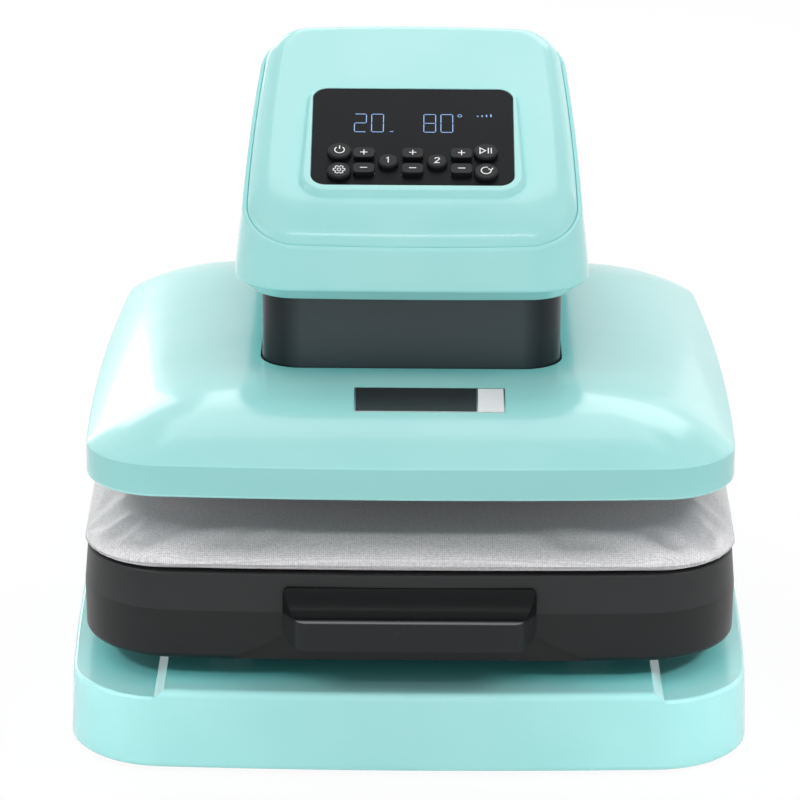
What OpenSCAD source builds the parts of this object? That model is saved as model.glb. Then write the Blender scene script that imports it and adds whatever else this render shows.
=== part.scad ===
// Automatic heat press: a motor-driven heated platen hangs from a C-frame and comes down on a
// padded drawer that slides out of the base.
// Millimetres. X points right, Y to the back, Z up. The origin lies on the standing surface,
// under the middle of the base.

/* [Base] */
// Width of the base
base_w = 462; // [450:1:520]
// Depth of the base
base_d = 538; // [530:1:620]
// Corner radius of the base in plan
base_corner = 58; // [30:1:80]
// Bow of each base side at its middle
base_bow = 8; // [0:0.5:10]
// Height of the base wall from its lower edge to the side ledges
base_h = 49; // [44:1:70]
// Width of the rolled upper edge of the base wall
base_edge = 2.5; // [2:0.5:6]
// Inward lean of the base wall from its foot to its upper edge
base_draft = 1.5; // [0:0.5:2]
// Width of the raised middle platform, halfway up its side slopes
platform_w = 328; // [300:1:380]
// Width of each side slope of the platform
platform_slope = 6.5; // [3:0.5:9]
// Height of the platform above the side ledges
platform_rise = 5; // [3:0.5:9]
// Thickness of the steel bottom plate
bottom_t = 3; // [2:0.5:5]
// Clear height under the base wall
foot_gap = 3; // [2:0.5:8]
// Radius of each rubber foot
foot_r = 16; // [10:1:20]
// Radius of the screw bosses under the base
boss_r = 7; // [5:0.5:10]

/* [Drawer] */
// Width of the tray
tray_w = 443; // [420:1:450]
// Depth of the tray
tray_d = 444; // [430:1:450]
// Corner radius of the tray in plan
tray_corner = 56; // [30:1:80]
// Bow of each tray side at its middle
tray_bow = 8; // [0:0.5:10]
// Height of the tray
tray_h = 61; // [54:1:80]
// Height of the crease that divides the two bands of the tray wall
tray_crease = 35; // [30:1:40]
// Inward lean of the upper band of the tray wall
tray_lean = 2; // [1:0.5:5]
// Wall of the tray at its rim
tray_wall = 9; // [7:0.5:12]
// Floor of the tray
tray_floor = 4; // [3:0.5:8]
// Gap between the platform and the tray
tray_gap = 14; // [9:0.5:16]
// How far the drawer pulls out
drawer_travel = 200; // [100:5:220]
// Thickness of the lower platen
lower_t = 12; // [6:1:16]
// Margin between the lower platen and the inside of the tray
lower_margin = 6; // [3:0.5:12]
// Distance between the two drawer rails
rail_spacing = 240; // [180:2:280]
// Width of a drawer rail
rail_w = 28; // [20:1:36]
// Sheet thickness of a drawer rail
rail_t = 2; // [1.5:0.1:3]

/* [Handle] */
// Width of the drawer handle
handle_w = 166; // [120:1:200]
// Height of the handle's lower edge above the tray's lower edge
handle_lift = 15; // [8:0.5:18]
// How far the handle stands out from the tray
handle_out = 17; // [14:0.5:20]
// How much narrower each side of the handle is at its front
handle_flare = 11; // [6:0.5:16]
// Height of the handle's upright face
handle_face_h = 19; // [14:0.5:24]
// Height of the handle from its lower edge to the top of its slope
handle_h = 40; // [36:0.5:46]
// Wall of the handle
handle_wall = 4; // [3:0.5:5]
// Width of the finger scoop at the lower edge of the tray
scoop_w = 238; // [200:1:280]
// Height of the finger scoop
scoop_h = 18; // [12:0.5:24]

/* [Pad] */
// Thickness of the padded cover at its middle
pad_t = 21; // [15:0.5:28]
// Gap between the edge of the pad and the edge of the tray
pad_margin = 3.5; // [3:0.5:10]
// Cloth thickness of the pad cover
cloth_t = 1.6; // [1:0.1:2]

/* [Platen] */
// Width of the platen cover
cover_w = 440; // [432:1:460]
// Depth of the platen cover
cover_d = 440; // [432:1:460]
// Corner radius of the platen cover in plan
cover_corner = 46; // [40:1:70]
// Bow of each cover side at its middle
cover_bow = 8; // [0:0.5:9]
// How much narrower each side of the cover is at its back
cover_taper = 8; // [0:0.5:9]
// Height of the upright rim of the cover
cover_rim = 23; // [20:0.5:30]
// Rise of the dome above the rim
cover_rise = 29.5; // [27:0.5:36]
// Width over which the dome curves up
dome_run = 102; // [80:1:110]
// How far the platen travels down
press_travel = 28; // [15:0.5:40]
// Side of the square heating plate
plate_side = 381; // [300:1:381]
// Thickness of the heating plate
plate_t = 16; // [10:0.5:18]
// How far the heating plate stands below the cover rim
plate_proud = 2; // [0.5:0.5:4]
// Radius of the tubular heating element
element_r = 3.5; // [2.5:0.1:4]
// Thickness of the insulation felt
felt_t = 8; // [5:0.5:9]
// Side of the square platen carrier
carrier_side = 300; // [270:1:310]
// Thickness of the platen carrier
carrier_t = 5; // [4:0.5:6]

/* [Sleeve] */
// Width of the sleeve between platen and head
sleeve_w = 202; // [190:1:210]
// Depth of the sleeve
sleeve_d = 202; // [190:1:210]
// Corner radius of the sleeve
sleeve_corner = 27; // [15:1:35]
// Wall of the sleeve
sleeve_wall = 3; // [2:0.5:4]
// Height of sleeve that shows between the dome and the head
sleeve_show = 50; // [46:1:70]

/* [Head] */
// Slope of the head cover in degrees
head_slope = 26; // [20:0.5:30]
// Height of the upright front of the head below the seam
head_front_h = 30; // [27:0.5:40]
// Overhang of the head in front of the sleeve
head_overhang = 20; // [16:0.5:30]
// Depth of the head from its front to its back
head_d = 202; // [200:1:210]
// Corner radius of the head in plan
head_corner = 38; // [25:1:45]
// Radius of the two back corners of the head in plan
head_back_corner = 28; // [22:1:40]
// Bow of each head side at its middle
head_bow = 3; // [0:0.5:4]
// Inward lean of the head sides in degrees
head_draft = 6.7; // [3:0.1:7]
// Height of the skirt under the head
lip_h = 8; // [4:0.5:10]
// Inset of the skirt's lower edge from the outside of the head
lip_inset = 12; // [8:0.5:13]
// Crown of the head cover above the seam
lid_crown = 13; // [9:0.5:14]
// Width of the rolled edge of the head cover at its sides
lid_roll = 18; // [12:0.5:20]
// Wall of the moulded shells
shell_wall = 3; // [2:0.1:3.4]

/* [Column] */
// Depth of the column
column_d = 59; // [56:1:80]
// Distance from the back of the column to the back of the base
column_inset = 7; // [6:0.5:15]
// Gap between the platen cover and the column
column_gap = 8; // [6:0.5:14]
// Thickness of the two frame plates
frame_t = 5; // [4:0.5:6]
// Thickness of the web between the frame plates
web_t = 4; // [3:0.5:6]
// Width of the rear cover
rear_w = 160; // [140:1:180]
// Height of the rear cover
rear_h = 160; // [140:1:170]

/* [Drive] */
// Thickness of the crossbeam
beam_t = 12; // [10:0.5:15]
// Radius of the screw
screw_r = 10; // [8:0.5:11]
// Radius of the screw's upper journal
journal_r = 8; // [6:0.5:8.5]
// Radius of each guide rod
rod_r = 8; // [6:0.5:10]
// Distance between the guide rods
rod_spacing = 160; // [150:1:166]
// Tooth module of the drive gears
gear_module = 2; // [1.75:0.05:2]
// Teeth of the screw gear
gear_teeth = 40; // [38:2:42]
// Teeth of the motor pinion
pinion_teeth = 13; // [13:1:16]
// Face width of the gears
gear_face = 10; // [7:0.5:11]
// Backlash between the gears
backlash = 0.25; // [0.15:0.05:0.4]
// Radius of the motor
motor_r = 22; // [16:1:23]
// Length of the motor
motor_l = 66; // [45:1:72]
// Radius of the motor shaft
shaft_r = 5; // [4:0.5:6]

/* [Panel] */
// Width of the control panel
panel_w = 136; // [132:1:150]
// Length of the control panel along the slope
panel_l = 100; // [96:1:106]
// Thickness of the control panel
panel_t = 2.5; // [2:0.25:3]
// Width of the bezel round the control panel
bezel_w = 6; // [4:0.5:8]
// Height of the bezel above the head cover
bezel_h = 4; // [3.5:0.25:6]
// Corner radius of the control panel
panel_corner = 10; // [6:0.5:14]
// Distance between the columns of keys
key_pitch = 16.4; // [16.3:0.1:17]
// Distance of the key rows' middle below the middle of the panel
key_drop = 27.5; // [25:0.5:30]
// Half distance between the large round keys of one column
round_step = 10; // [9.5:0.1:11]
// Half distance between the plus and minus keys of one column
bar_step = 7.8; // [6.8:0.1:8.5]
// Radius of the large round keys
round_r = 8; // [7:0.1:8.1]
// Radius of the small round keys
preset_r = 6.8; // [5.5:0.1:7]
// Width of the plus and minus keys
bar_w = 14.2; // [12:0.1:14.4]
// Height of the plus and minus keys along the slope
bar_h = 10.4; // [8:0.1:11]
// How far the keys stand out of the panel
key_proud = 3.5; // [2:0.1:4.5]
// Travel of the keys
key_travel = 1; // [0.5:0.1:1.2]

/* [Clearances] */
// Running clearance of shafts, rods and pins, on the radius
run_clear = 0.05; // [0.02:0.01:0.1]
// Clearance of parts that seat in each other
seat_clear = 0.3; // [0.2:0.05:0.4]
// Clearance round the sliding sleeve
sleeve_clear = 1.5; // [1:0.1:2]

/* [Hidden] */

$fn = 48;
tiny = 0.01;
over = 1;
arc_steps = 8;
side_steps = 6;

// Colours
mint = [0.62, 0.88, 0.86];
charcoal = [0.16, 0.16, 0.17];
steel = [0.62, 0.63, 0.65];
pale_metal = [0.78, 0.79, 0.8];
bronze = [0.72, 0.53, 0.27];
board_green = [0.1, 0.35, 0.22];
cloth_grey = [0.72, 0.72, 0.73];

// Heights, from the floor up
base_z = foot_gap;
bottom_recess = 1;
bottom_z = base_z + bottom_recess;
bottom_top = bottom_z + bottom_t;
ledge_z = base_z + base_h;
platform_z = ledge_z + platform_rise;
tray_z = platform_z + tray_gap;
crease_z = tray_z + tray_crease;
rim_z = tray_z + tray_h;
pad_z = rim_z;
pad_top = pad_z + pad_t;
plate_z = pad_top + press_travel + seat_clear;
plate_top = plate_z + plate_t;
cover_z = plate_z + plate_proud;
dome_foot = cover_z + cover_rim;
dome_top = dome_foot + cover_rise;
felt_z = plate_top + element_r;
felt_gap = 7;
carrier_z = felt_z + felt_t + felt_gap;
carrier_top = carrier_z + carrier_t;
lip_z = dome_top + sleeve_show;
under_z = lip_z + lip_h;
arm_drop = 6;
arm_low = under_z - arm_drop;
seam_front = under_z + head_front_h;
sleeve_keep = 4;
sleeve_top = lip_z + press_travel + sleeve_keep;
beam_gap = 4;
beam_z = sleeve_top + beam_gap;
beam_top = beam_z + beam_t;
gear_lift = 2;
gear_z = beam_top + gear_lift;

// Places along Y, from the back of the base forward
column_back = base_d / 2 - column_inset;
column_front = column_back - column_d;
tray_back_gap = 6;
press_y = column_front - max(column_gap + cover_d / 2, tray_back_gap + tray_d / 2);
head_front = press_y - sleeve_d / 2 - head_overhang;
head_back = head_front + head_d;
head_y = (head_front + head_back) / 2;
tray_front = press_y - tray_d / 2;

// Widths that follow from the sleeve and the frame
frame_gap = 2.5;
frame_room = 9;
frame_x = sleeve_w / 2 + frame_gap;
frame_out = frame_x + frame_t;
head_w = 2 * (frame_out + frame_room + shell_wall);
column_w = head_w - 8;

// Plan outlines: rectangles with round corners and slightly bowed sides
function arc(c, r, from) =
    [for (i = [0 : arc_steps]) c + r * [cos(from + 90 * i / arc_steps), sin(from + 90 * i / arc_steps)]];
function between(p, q) = [for (i = [1 : side_steps - 1]) p + (q - p) * i / side_steps];
function bowed(p, a, b, bow) = [
    p.x + sign(p.x) * bow * (1 - pow(p.y / b, 2)),
    p.y + sign(p.y) * bow * (1 - pow(p.x / a, 2))];
function corner_side(k) = k == 0 || k == 3 ? 1 : -1;
function corner_end(k) = k < 2 ? 1 : -1;
function plan(w, d, r, bow = 0, back_r = undef) =
    let (a = w / 2 - bow, b = d / 2 - bow, radii = [back_r, back_r, r, r])
    let (corners = [for (k = [0 : 3]) let (rk = is_undef(radii[k]) ? r : radii[k])
        arc([corner_side(k) * (a - rk), corner_end(k) * (b - rk)], rk, 90 * k)])
    [for (k = [0 : 3]) each
        [for (p = concat(corners[k], between(corners[k][arc_steps], corners[(k + 1) % 4][0])))
            bowed(p, a, b, bow)]];

// One level of a lofted shell: the outline drawn in by inset, at height z
function level(w, d, r, bow, y, inset, z, keep = 1, back_r = undef) =
    [for (p = plan(w - 2 * inset, d - 2 * inset, r - keep * inset, bow,
            is_undef(back_r) ? undef : back_r - keep * inset))
        [p.x, p.y + y, z]];

// Solid skin over a stack of levels that have the same number of points; caps lists the flat
// faces that close each end, as places along a level, from a place that sees the whole face
module loft(rings, caps = undef) {
    n = len(rings[0]);
    last = (len(rings) - 1) * n;
    ends = is_undef(caps) ? [[for (i = [0 : n - 1]) i]] : caps;
    polyhedron(
        points = [for (ring = rings) each ring],
        faces = concat(
            ends,
            [for (j = [0 : len(rings) - 2]) for (i = [0 : n - 1]) each
                let (a = j * n, b = a + n, k = (i + 1) % n)
                [[a + i, b + i, b + k], [a + i, b + k, a + k]]],
            [for (end = ends) concat([last + end[0]], [for (i = [len(end) - 1 : -1 : 1]) last + end[i]])]));
}

module prism(w, d, r, bow, y, z0, z1) {
    translate([0, y, z0])
        linear_extrude(z1 - z0)
            polygon(plan(w, d, r, bow));
}

module block(x0, x1, y0, y1, z0, z1) {
    translate([x0, y0, z0]) cube([x1 - x0, y1 - y0, z1 - z0]);
}

module post(x, y, r, z0, z1) {
    translate([x, y, z0]) cylinder(h = z1 - z0, r = r);
}

// A profile drawn in the Y-Z plane and carried across X
module side_profile(points, x0, x1) {
    translate([x0, 0, 0])
        rotate([90, 0, 90])
            linear_extrude(x1 - x0)
                polygon(points);
}

// Base
foot_inset = 42;
boss_side = 28;
boss_end = 70;
boss_points = [for (x = [-1, 1]) for (y = [-1, 0, 1])
    [x * (base_w / 2 - boss_side), y * (base_d / 2 - boss_end)]];
foot_points = [for (x = [-1, 1]) for (y = [-1, 1])
    [x * (base_w / 2 - base_corner / 2 - foot_inset), y * (base_d / 2 - base_corner / 2 - foot_inset)]];
frame_margin = 4;
base_toe = 2.5;
base_screw_r = 2;
base_screw_head = 4;
base_screw_l = 12;
foot_taper = 2;

// A rounded upper edge: shares of its width drawn in and of its height risen
edge_roll = [[0, 0], [0.13, 0.5], [0.5, 0.87], [1, 1]];

function base_level(inset, z) = level(base_w, base_d, base_corner, base_bow, 0, inset, z);
function base_rolled(edge, top) =
    [for (e = edge_roll) base_level(base_draft + edge * e[0], top - edge * (1 - e[1]))];

module base_outside() {
    loft(concat(
        [base_level(base_toe, base_z), base_level(base_toe / 4, base_z + base_toe / 2),
            base_level(0, base_z + base_toe + 1)],
        base_rolled(base_edge, ledge_z)));
}

module platform_outside() {
    foot = (platform_w + platform_slope) / 2;
    top = (platform_w - platform_slope) / 2;
    intersection() {
        loft(concat(
            [base_level(base_draft, ledge_z - 2 * base_edge)],
            base_rolled(platform_rise, platform_z)));
        rotate([90, 0, 0])
            linear_extrude(base_d + 2 * over, center = true)
                polygon([[-foot, 0], [foot, 0], [foot, ledge_z], [top, platform_z], [-top, platform_z],
                    [-foot, ledge_z]]);
    }
}

module base_shell() {
    inner_w = base_w - 2 * shell_wall;
    inner_d = base_d - 2 * shell_wall;
    color(mint)
        difference() {
            union() {
                base_outside();
                platform_outside();
            }
            difference() {
                prism(inner_w - base_toe, inner_d - base_toe, base_corner - shell_wall, base_bow, 0,
                    base_z - over, ledge_z - shell_wall);
                for (p = boss_points) post(p.x, p.y, boss_r, bottom_top, ledge_z);
            }
            for (p = boss_points)
                post(p.x, p.y, base_screw_r + run_clear, bottom_top - over, bottom_z + base_screw_l + over);
            block(-frame_out - frame_margin, frame_out + frame_margin,
                column_front + frame_margin, column_back - frame_margin, 0, platform_z + over);
        }
}

module bottom_plate() {
    inset = 2 * (shell_wall + base_toe + seat_clear);
    color(steel)
        difference() {
            prism(base_w - inset, base_d - inset, base_corner - shell_wall - base_toe, base_bow, 0,
                bottom_z, bottom_top);
            for (p = boss_points)
                post(p.x, p.y, base_screw_r + run_clear, bottom_z - over, bottom_top + over);
        }
}

module rubber_feet() {
    color(charcoal)
        for (p = foot_points)
            translate([p.x, p.y, 0])
                cylinder(h = bottom_z, r1 = foot_r - foot_taper, r2 = foot_r);
}

module base_screws() {
    color(steel)
        for (p = boss_points) {
            post(p.x, p.y, base_screw_head, base_z - bottom_recess, bottom_z);
            post(p.x, p.y, base_screw_r, bottom_z - tiny, bottom_z + base_screw_l);
        }
}

// Drawer rails and runners
rail_setback = 52;
rail_end = 4;
runner_hold = 160;
rail_y0 = tray_front + rail_setback;
rail_y1 = column_front - rail_end;
runner_y0 = rail_y0 + rail_end;
// The runner keeps this hold of its length in the rail when the drawer is out
runner_y1 = runner_y0 + runner_hold + drawer_travel;
rail_wall_h = tray_gap - rail_t;

module rail(side) {
    x = side * rail_spacing / 2;
    color(steel)
        difference() {
            block(x - rail_w / 2, x + rail_w / 2, rail_y0, rail_y1, platform_z, platform_z + rail_wall_h);
            block(x - rail_w / 2 + rail_t, x + rail_w / 2 - rail_t, rail_y0 - over, rail_y1 + over,
                platform_z + rail_t, tray_z);
        }
}

module runner(side) {
    x = side * rail_spacing / 2;
    half = rail_w / 2 - rail_t - seat_clear;
    color(pale_metal)
        block(x - half, x + half, runner_y0, runner_y1, platform_z + rail_t + seat_clear, tray_z);
}

module left_rail() { rail(-1); }
module right_rail() { rail(1); }
module left_runner() { runner(-1); }
module right_runner() { runner(1); }

// Drawer tray, handle and lower platen
tray_inner_w = tray_w - 2 * (tray_wall + tray_lean);
tray_inner_d = tray_d - 2 * (tray_wall + tray_lean);
tray_inner_corner = tray_corner - tray_wall - tray_lean;
lower_w = tray_inner_w - 2 * lower_margin;
lower_d = tray_inner_d - 2 * lower_margin;
lower_z = rim_z - lower_t;
tray_foot = 5;
rest_r = 11;
rest_points = [for (x = [-1, 0, 1]) for (y = [-1, 0, 1]) [x * lower_w * 0.38, press_y + y * lower_d * 0.38]];
scoop_depth = 6;
scoop_slope = 30;

function tray_level(inset, z) = level(tray_w, tray_d, tray_corner, tray_bow, press_y, inset, z);

module drawer_tray() {
    color(charcoal)
        difference() {
            loft([
                tray_level(tray_foot, tray_z),
                tray_level(tray_foot * 0.3, tray_z + tray_foot * 0.3),
                tray_level(0.5, tray_z + tray_foot),
                tray_level(0, crease_z - 1),
                tray_level(0.6, crease_z),
                tray_level(tray_lean, rim_z - 2),
                tray_level(tray_lean + 2, rim_z)]);
            difference() {
                prism(tray_inner_w, tray_inner_d, tray_inner_corner, tray_bow, press_y,
                    tray_z + tray_floor, rim_z + over);
                for (p = rest_points) post(p.x, p.y, rest_r, tray_z, lower_z);
            }
            translate([0, tray_front + scoop_depth, 0])
                rotate([90, 0, 0])
                    linear_extrude(scoop_depth + 4 * over)
                        polygon([
                            [-scoop_w / 2, tray_z - over], [scoop_w / 2, tray_z - over],
                            [scoop_w / 2 - scoop_slope, tray_z + scoop_h],
                            [-scoop_w / 2 + scoop_slope, tray_z + scoop_h]]);
        }
}

handle_z = tray_z + handle_lift;
handle_front = tray_front - handle_out;
handle_top = handle_z + handle_h;
handle_back = tray_front + scoop_depth;
handle_edge = 2;
handle_corner = 6;
handle_lean = 3;
handle_steps = 5;

// The handle's section: upright lip, rolled edge and a hollow slope back to the tray, drawn in by inset
function handle_section(inset) =
    let (low = handle_z - (inset > 0 ? over : 0), back = handle_back + (inset > 0 ? over : 0))
    let (face = handle_z + handle_face_h - inset, slope_top = handle_top - handle_lean - 1.6 * inset)
    concat(
        [[back, low], [back, slope_top + handle_lean]],
        [for (i = [0 : handle_steps])
            bezier([tray_front - handle_lean / 2, slope_top],
                [handle_front + handle_out / 2, face],
                [handle_front + handle_edge + inset, face + handle_edge * 0.8], i / handle_steps)],
        [[handle_front + inset, face - handle_edge * 0.4], [handle_front + inset, low]]);

// One side of the handle in plan, narrowing to a rounded front corner, drawn in by inset
function handle_side(inset) =
    let (wide = handle_w / 2 - inset, narrow = wide - handle_flare, front = handle_front + inset)
    let (corner = [narrow, front], reach = [wide, tray_front] - corner)
    let (along = corner + reach * handle_corner / norm(reach))
    concat(
        [[wide, handle_back + over], [wide, tray_front]],
        [for (i = [0 : handle_steps])
            bezier(along, corner, corner - [handle_corner, 0], i / handle_steps)]);

module handle_body(inset) {
    side = handle_side(inset);
    intersection() {
        side_profile(handle_section(inset), -handle_w / 2, handle_w / 2);
        translate([0, 0, tray_z])
            linear_extrude(rim_z - tray_z)
                polygon(concat(side, [for (i = [len(side) - 1 : -1 : 0]) [-side[i].x, side[i].y]]));
    }
}

module drawer_handle() {
    color(charcoal)
        difference() {
            handle_body(0);
            handle_body(handle_wall);
            difference() {
                prism(tray_w + 2 * seat_clear, tray_d + 2 * seat_clear, tray_corner, tray_bow, press_y,
                    tray_z, rim_z);
                block(-handle_w, handle_w, handle_front, handle_back, tray_z, tray_z + scoop_h - seat_clear);
            }
        }
}

module lower_platen() {
    color(pale_metal)
        prism(lower_w, lower_d, tray_inner_corner - lower_margin, tray_bow, press_y, lower_z, rim_z);
}

// Padded cover: a crowned cushion whose sides draw in to the rim of the tray
pad_w = tray_w - 2 * pad_margin;
pad_d = tray_d - 2 * pad_margin;
pad_corner = tray_corner - pad_margin;
pad_sides = [[6, 0], [1.5, 0.15], [0, 0.36], [0.8, 0.56], [3.6, 0.74], [9, 0.87],
    [26, 0.94], [60, 0.98], [110, 1]];

function pad_level(inset, share, skin) =
    level(pad_w - 2 * skin, pad_d - 2 * skin, pad_corner - skin, tray_bow * 0.6, press_y, inset,
        pad_z + skin + share * (pad_t - 2 * skin), 0.3);

module pad_skin(skin) {
    loft([for (s = pad_sides) pad_level(s[0], s[1], skin)]);
}

module pad_cover() {
    color(cloth_grey)
        difference() {
            pad_skin(0);
            pad_skin(cloth_t);
        }
}

module foam_pad() {
    color([0.86, 0.82, 0.72])
        pad_skin(cloth_t + seat_clear);
}

// Platen: heating plate, element, felt, carrier and domed cover
carrier_corner = 20;
stand_edge = 26;
stand_x = carrier_side / 2 - stand_edge;
stand_points = [for (x = [-1, 1]) for (y = [-1, 1]) [x * stand_x, press_y + y * stand_x]];
stand_r = 7;
cover_post_edge = 10;
cover_post_x = carrier_side / 2 - cover_post_edge;
cover_posts = [for (x = [-1, 1]) for (y = [-1, 1]) [x * cover_post_x, press_y + y * cover_post_x]];
cover_post_r = 7;
cover_toe = 3.5;
cover_edge = 1;
dome_steps = 9;
dome_curve = 2.5;
dome_corner = 6;
dome_keep = (cover_corner - dome_corner) / (cover_edge + dome_run);

function tapered(p) =
    [p.x * (1 - 2 * cover_taper / cover_w * ((p.y - press_y) / cover_d + 0.5)), p.y, p.z];
function cover_level(inset, z, wall, keep = 1) =
    [for (p = level(cover_w - 2 * wall, cover_d - 2 * wall, cover_corner - wall, cover_bow, press_y,
            inset, z, keep))
        tapered(p)];
function dome_levels(foot, wall) =
    [for (i = [0 : dome_steps]) let (u = i / dome_steps)
        cover_level(cover_edge + dome_run * u, foot + cover_rise * (1 - pow(1 - u, dome_curve)),
            wall, dome_keep)];

module cover_outside() {
    loft(concat(
        [cover_level(cover_toe * 0.7, cover_z, 0), cover_level(cover_toe * 0.2, cover_z + cover_toe * 0.3, 0),
            cover_level(0, cover_z + cover_toe, 0), cover_level(0, dome_foot - 2 * cover_edge, 0)],
        dome_levels(dome_foot, 0)));
}

module cover_inside() {
    low = dome_foot - shell_wall;
    loft(concat(
        [cover_level(0, cover_z - over, shell_wall), cover_level(0, low, shell_wall)],
        dome_levels(low + tiny, shell_wall)));
}

// Room for the sleeve to pass
module sleeve_way(z0, z1) {
    prism(sleeve_w + 2 * sleeve_clear, sleeve_d + 2 * sleeve_clear, sleeve_corner + sleeve_clear, 0, press_y,
        z0, z1);
}

module platen_cover() {
    color(mint)
        difference() {
            cover_outside();
            difference() {
                cover_inside();
                for (p = cover_posts) post(p.x, p.y, cover_post_r, carrier_top, dome_top);
            }
            sleeve_way(carrier_top, dome_top + over);
        }
}

// The element lies half sunk in the plate: four passes joined by round bends
element_passes = 4;
element_pitch = 70;
element_run = 250;
plate_corner = cover_corner - 30;

module element_pass(x, r) {
    translate([x, press_y - element_run / 2, plate_top])
        rotate([-90, 0, 0])
            cylinder(h = element_run, r = r);
}

module element_bend(x, end, r) {
    translate([x, press_y + end * element_run / 2, plate_top])
        rotate([0, 0, end > 0 ? 0 : 180])
            rotate_extrude(angle = 180)
                translate([element_pitch / 2, 0]) circle(r);
}

module element_run_through(r) {
    first = -(element_passes - 1) * element_pitch / 2;
    for (i = [0 : element_passes - 1]) element_pass(first + i * element_pitch, r);
    for (i = [0 : element_passes - 2])
        element_bend(first + (i + 0.5) * element_pitch, i % 2 == 0 ? 1 : -1, r);
}

module heating_plate() {
    color(pale_metal)
        difference() {
            prism(plate_side, plate_side, plate_corner, 0, press_y, plate_z, plate_top);
            element_run_through(element_r + run_clear);
        }
}

module heating_element() {
    color([0.45, 0.42, 0.4])
        union() {
            element_run_through(element_r);
        }
}

felt_inset = 13;
felt_corner = 34;
thermo_r = 9;
thermo_h = 10;
thermo_tab = 4;
thermo_tab_h = 3;

module insulation_felt() {
    side = plate_side - 2 * felt_inset;
    room = thermo_r + over;
    low = felt_z - over;
    high = felt_z + felt_t + over;
    color([0.9, 0.88, 0.82])
        difference() {
            prism(side, side, felt_corner, 0, press_y, felt_z, felt_z + felt_t);
            for (p = stand_points) post(p.x, p.y, stand_r + seat_clear, low, high);
            block(-room, room, press_y - room, press_y + room, low, high);
        }
}

module thermostat() {
    reach = thermo_r * 0.7;
    color(pale_metal)
        union() {
            post(0, press_y, thermo_r, plate_top, plate_top + thermo_h);
            block(-thermo_tab / 2, thermo_tab / 2, press_y - reach, press_y + reach,
                plate_top + thermo_h - tiny, plate_top + thermo_h + thermo_tab_h);
        }
}

module standoffs() {
    color(steel)
        for (p = stand_points) post(p.x, p.y, stand_r, plate_top, carrier_z);
}

module platen_carrier() {
    color(steel)
        prism(carrier_side, carrier_side, carrier_corner, 0, press_y, carrier_z, carrier_top);
}

module press_sleeve() {
    color(charcoal)
        difference() {
            prism(sleeve_w, sleeve_d, sleeve_corner, 0, press_y, carrier_top, sleeve_top);
            prism(sleeve_w - 2 * sleeve_wall, sleeve_d - 2 * sleeve_wall, sleeve_corner - sleeve_wall, 0,
                press_y, carrier_top - over, sleeve_top + over);
        }
}

// Drive: screw, nut, guide rods, beam and gear pair
nut_tube_h = 70;
nut_seat = 24;
nut_flange_t = 8;
nut_r = screw_r + 8;
nut_flange_r = screw_r + 14;
nut_z = carrier_top + nut_tube_h;
housing_wall = 4;
housing_foot_t = 6;
housing_room = 3;
screw_lift = 11;
screw_low = carrier_top + screw_lift;
collar_h = 8;
collar_r = screw_r + 4;
bearing_r = screw_r + 10;
gear_r = gear_module * gear_teeth / 2;
pinion_r = gear_module * pinion_teeth / 2;
pinion_y = press_y + gear_r + pinion_r;
screw_top = gear_z + gear_face + 2 * gear_lift;
hub_wall = 6;
bush_r = rod_r + 5;
bush_flange_r = bush_r + 2;
bush_flange_t = 2;
rod_keep = 6;
rod_top = beam_top + bush_flange_t + press_travel + rod_keep;
rod_foot_r = rod_r + 6;
rod_foot_h = 8;
rod_points = [for (x = [-1, 1]) [x * rod_spacing / 2, press_y]];
beam_front = 56;
beam_behind = 14;
beam_y0 = press_y - beam_front;
beam_y1 = pinion_y + motor_r + beam_behind;
shaft_room = 2;
shaft_in = 18;
shaft_out = 2;
motor_flange = 3;
motor_flange_t = 4;

// Involute tooth outline: half of the tooth's angle at radius r
pressure_angle = 20;
flank_steps = 4;
function unwound(r, rb) = let (t = sqrt(max(0, pow(r / rb, 2) - 1))) t * 180 / PI - atan(t);
function half_tooth(r, rp, rb, teeth) =
    90 / teeth - backlash / 4 / rp * 180 / PI + unwound(rp, rb) - unwound(r, rb);
function polar(r, a) = [r * cos(a), r * sin(a)];
function gear_outline(teeth) =
    let (rp = gear_module * teeth / 2, rb = rp * cos(pressure_angle))
    let (tip = rp + gear_module, root = rp - 1.25 * gear_module, low = max(rb, root))
    [for (i = [0 : teeth - 1]) each
        let (mid = i * 360 / teeth, foot = half_tooth(low, rp, rb, teeth))
        concat(
            [polar(root, mid - foot)],
            [for (k = [0 : flank_steps]) let (r = low + (tip - low) * k / flank_steps)
                polar(r, mid - half_tooth(r, rp, rb, teeth))],
            [for (k = [flank_steps : -1 : 0]) let (r = low + (tip - low) * k / flank_steps)
                polar(r, mid + half_tooth(r, rp, rb, teeth))],
            [polar(root, mid + foot)])];

module press_beam() {
    color(steel)
        difference() {
            block(-frame_out, frame_out, beam_y0, beam_y1, beam_z, beam_top);
            post(0, press_y, bearing_r + run_clear, beam_z - over, beam_top + over);
            for (p = rod_points) post(p.x, p.y, bush_r + run_clear, beam_z - over, beam_top + over);
            post(0, pinion_y, shaft_r + shaft_room, beam_z - over, beam_top + over);
        }
}

module thrust_bearing() {
    color(bronze)
        difference() {
            post(0, press_y, bearing_r, beam_z, beam_top);
            post(0, press_y, journal_r + run_clear, beam_z - over, beam_top + over);
        }
}

module guide_bushes() {
    color(bronze)
        for (p = rod_points)
            difference() {
                union() {
                    post(p.x, p.y, bush_r, beam_z, beam_top);
                    post(p.x, p.y, bush_flange_r, beam_top, beam_top + bush_flange_t);
                }
                post(p.x, p.y, rod_r + run_clear, beam_z - over, beam_top + bush_flange_t + over);
            }
}

module guide_rods() {
    color(pale_metal)
        for (p = rod_points) {
            post(p.x, p.y, rod_foot_r, carrier_top, carrier_top + rod_foot_h);
            post(p.x, p.y, rod_r, carrier_top, rod_top);
        }
}

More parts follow.
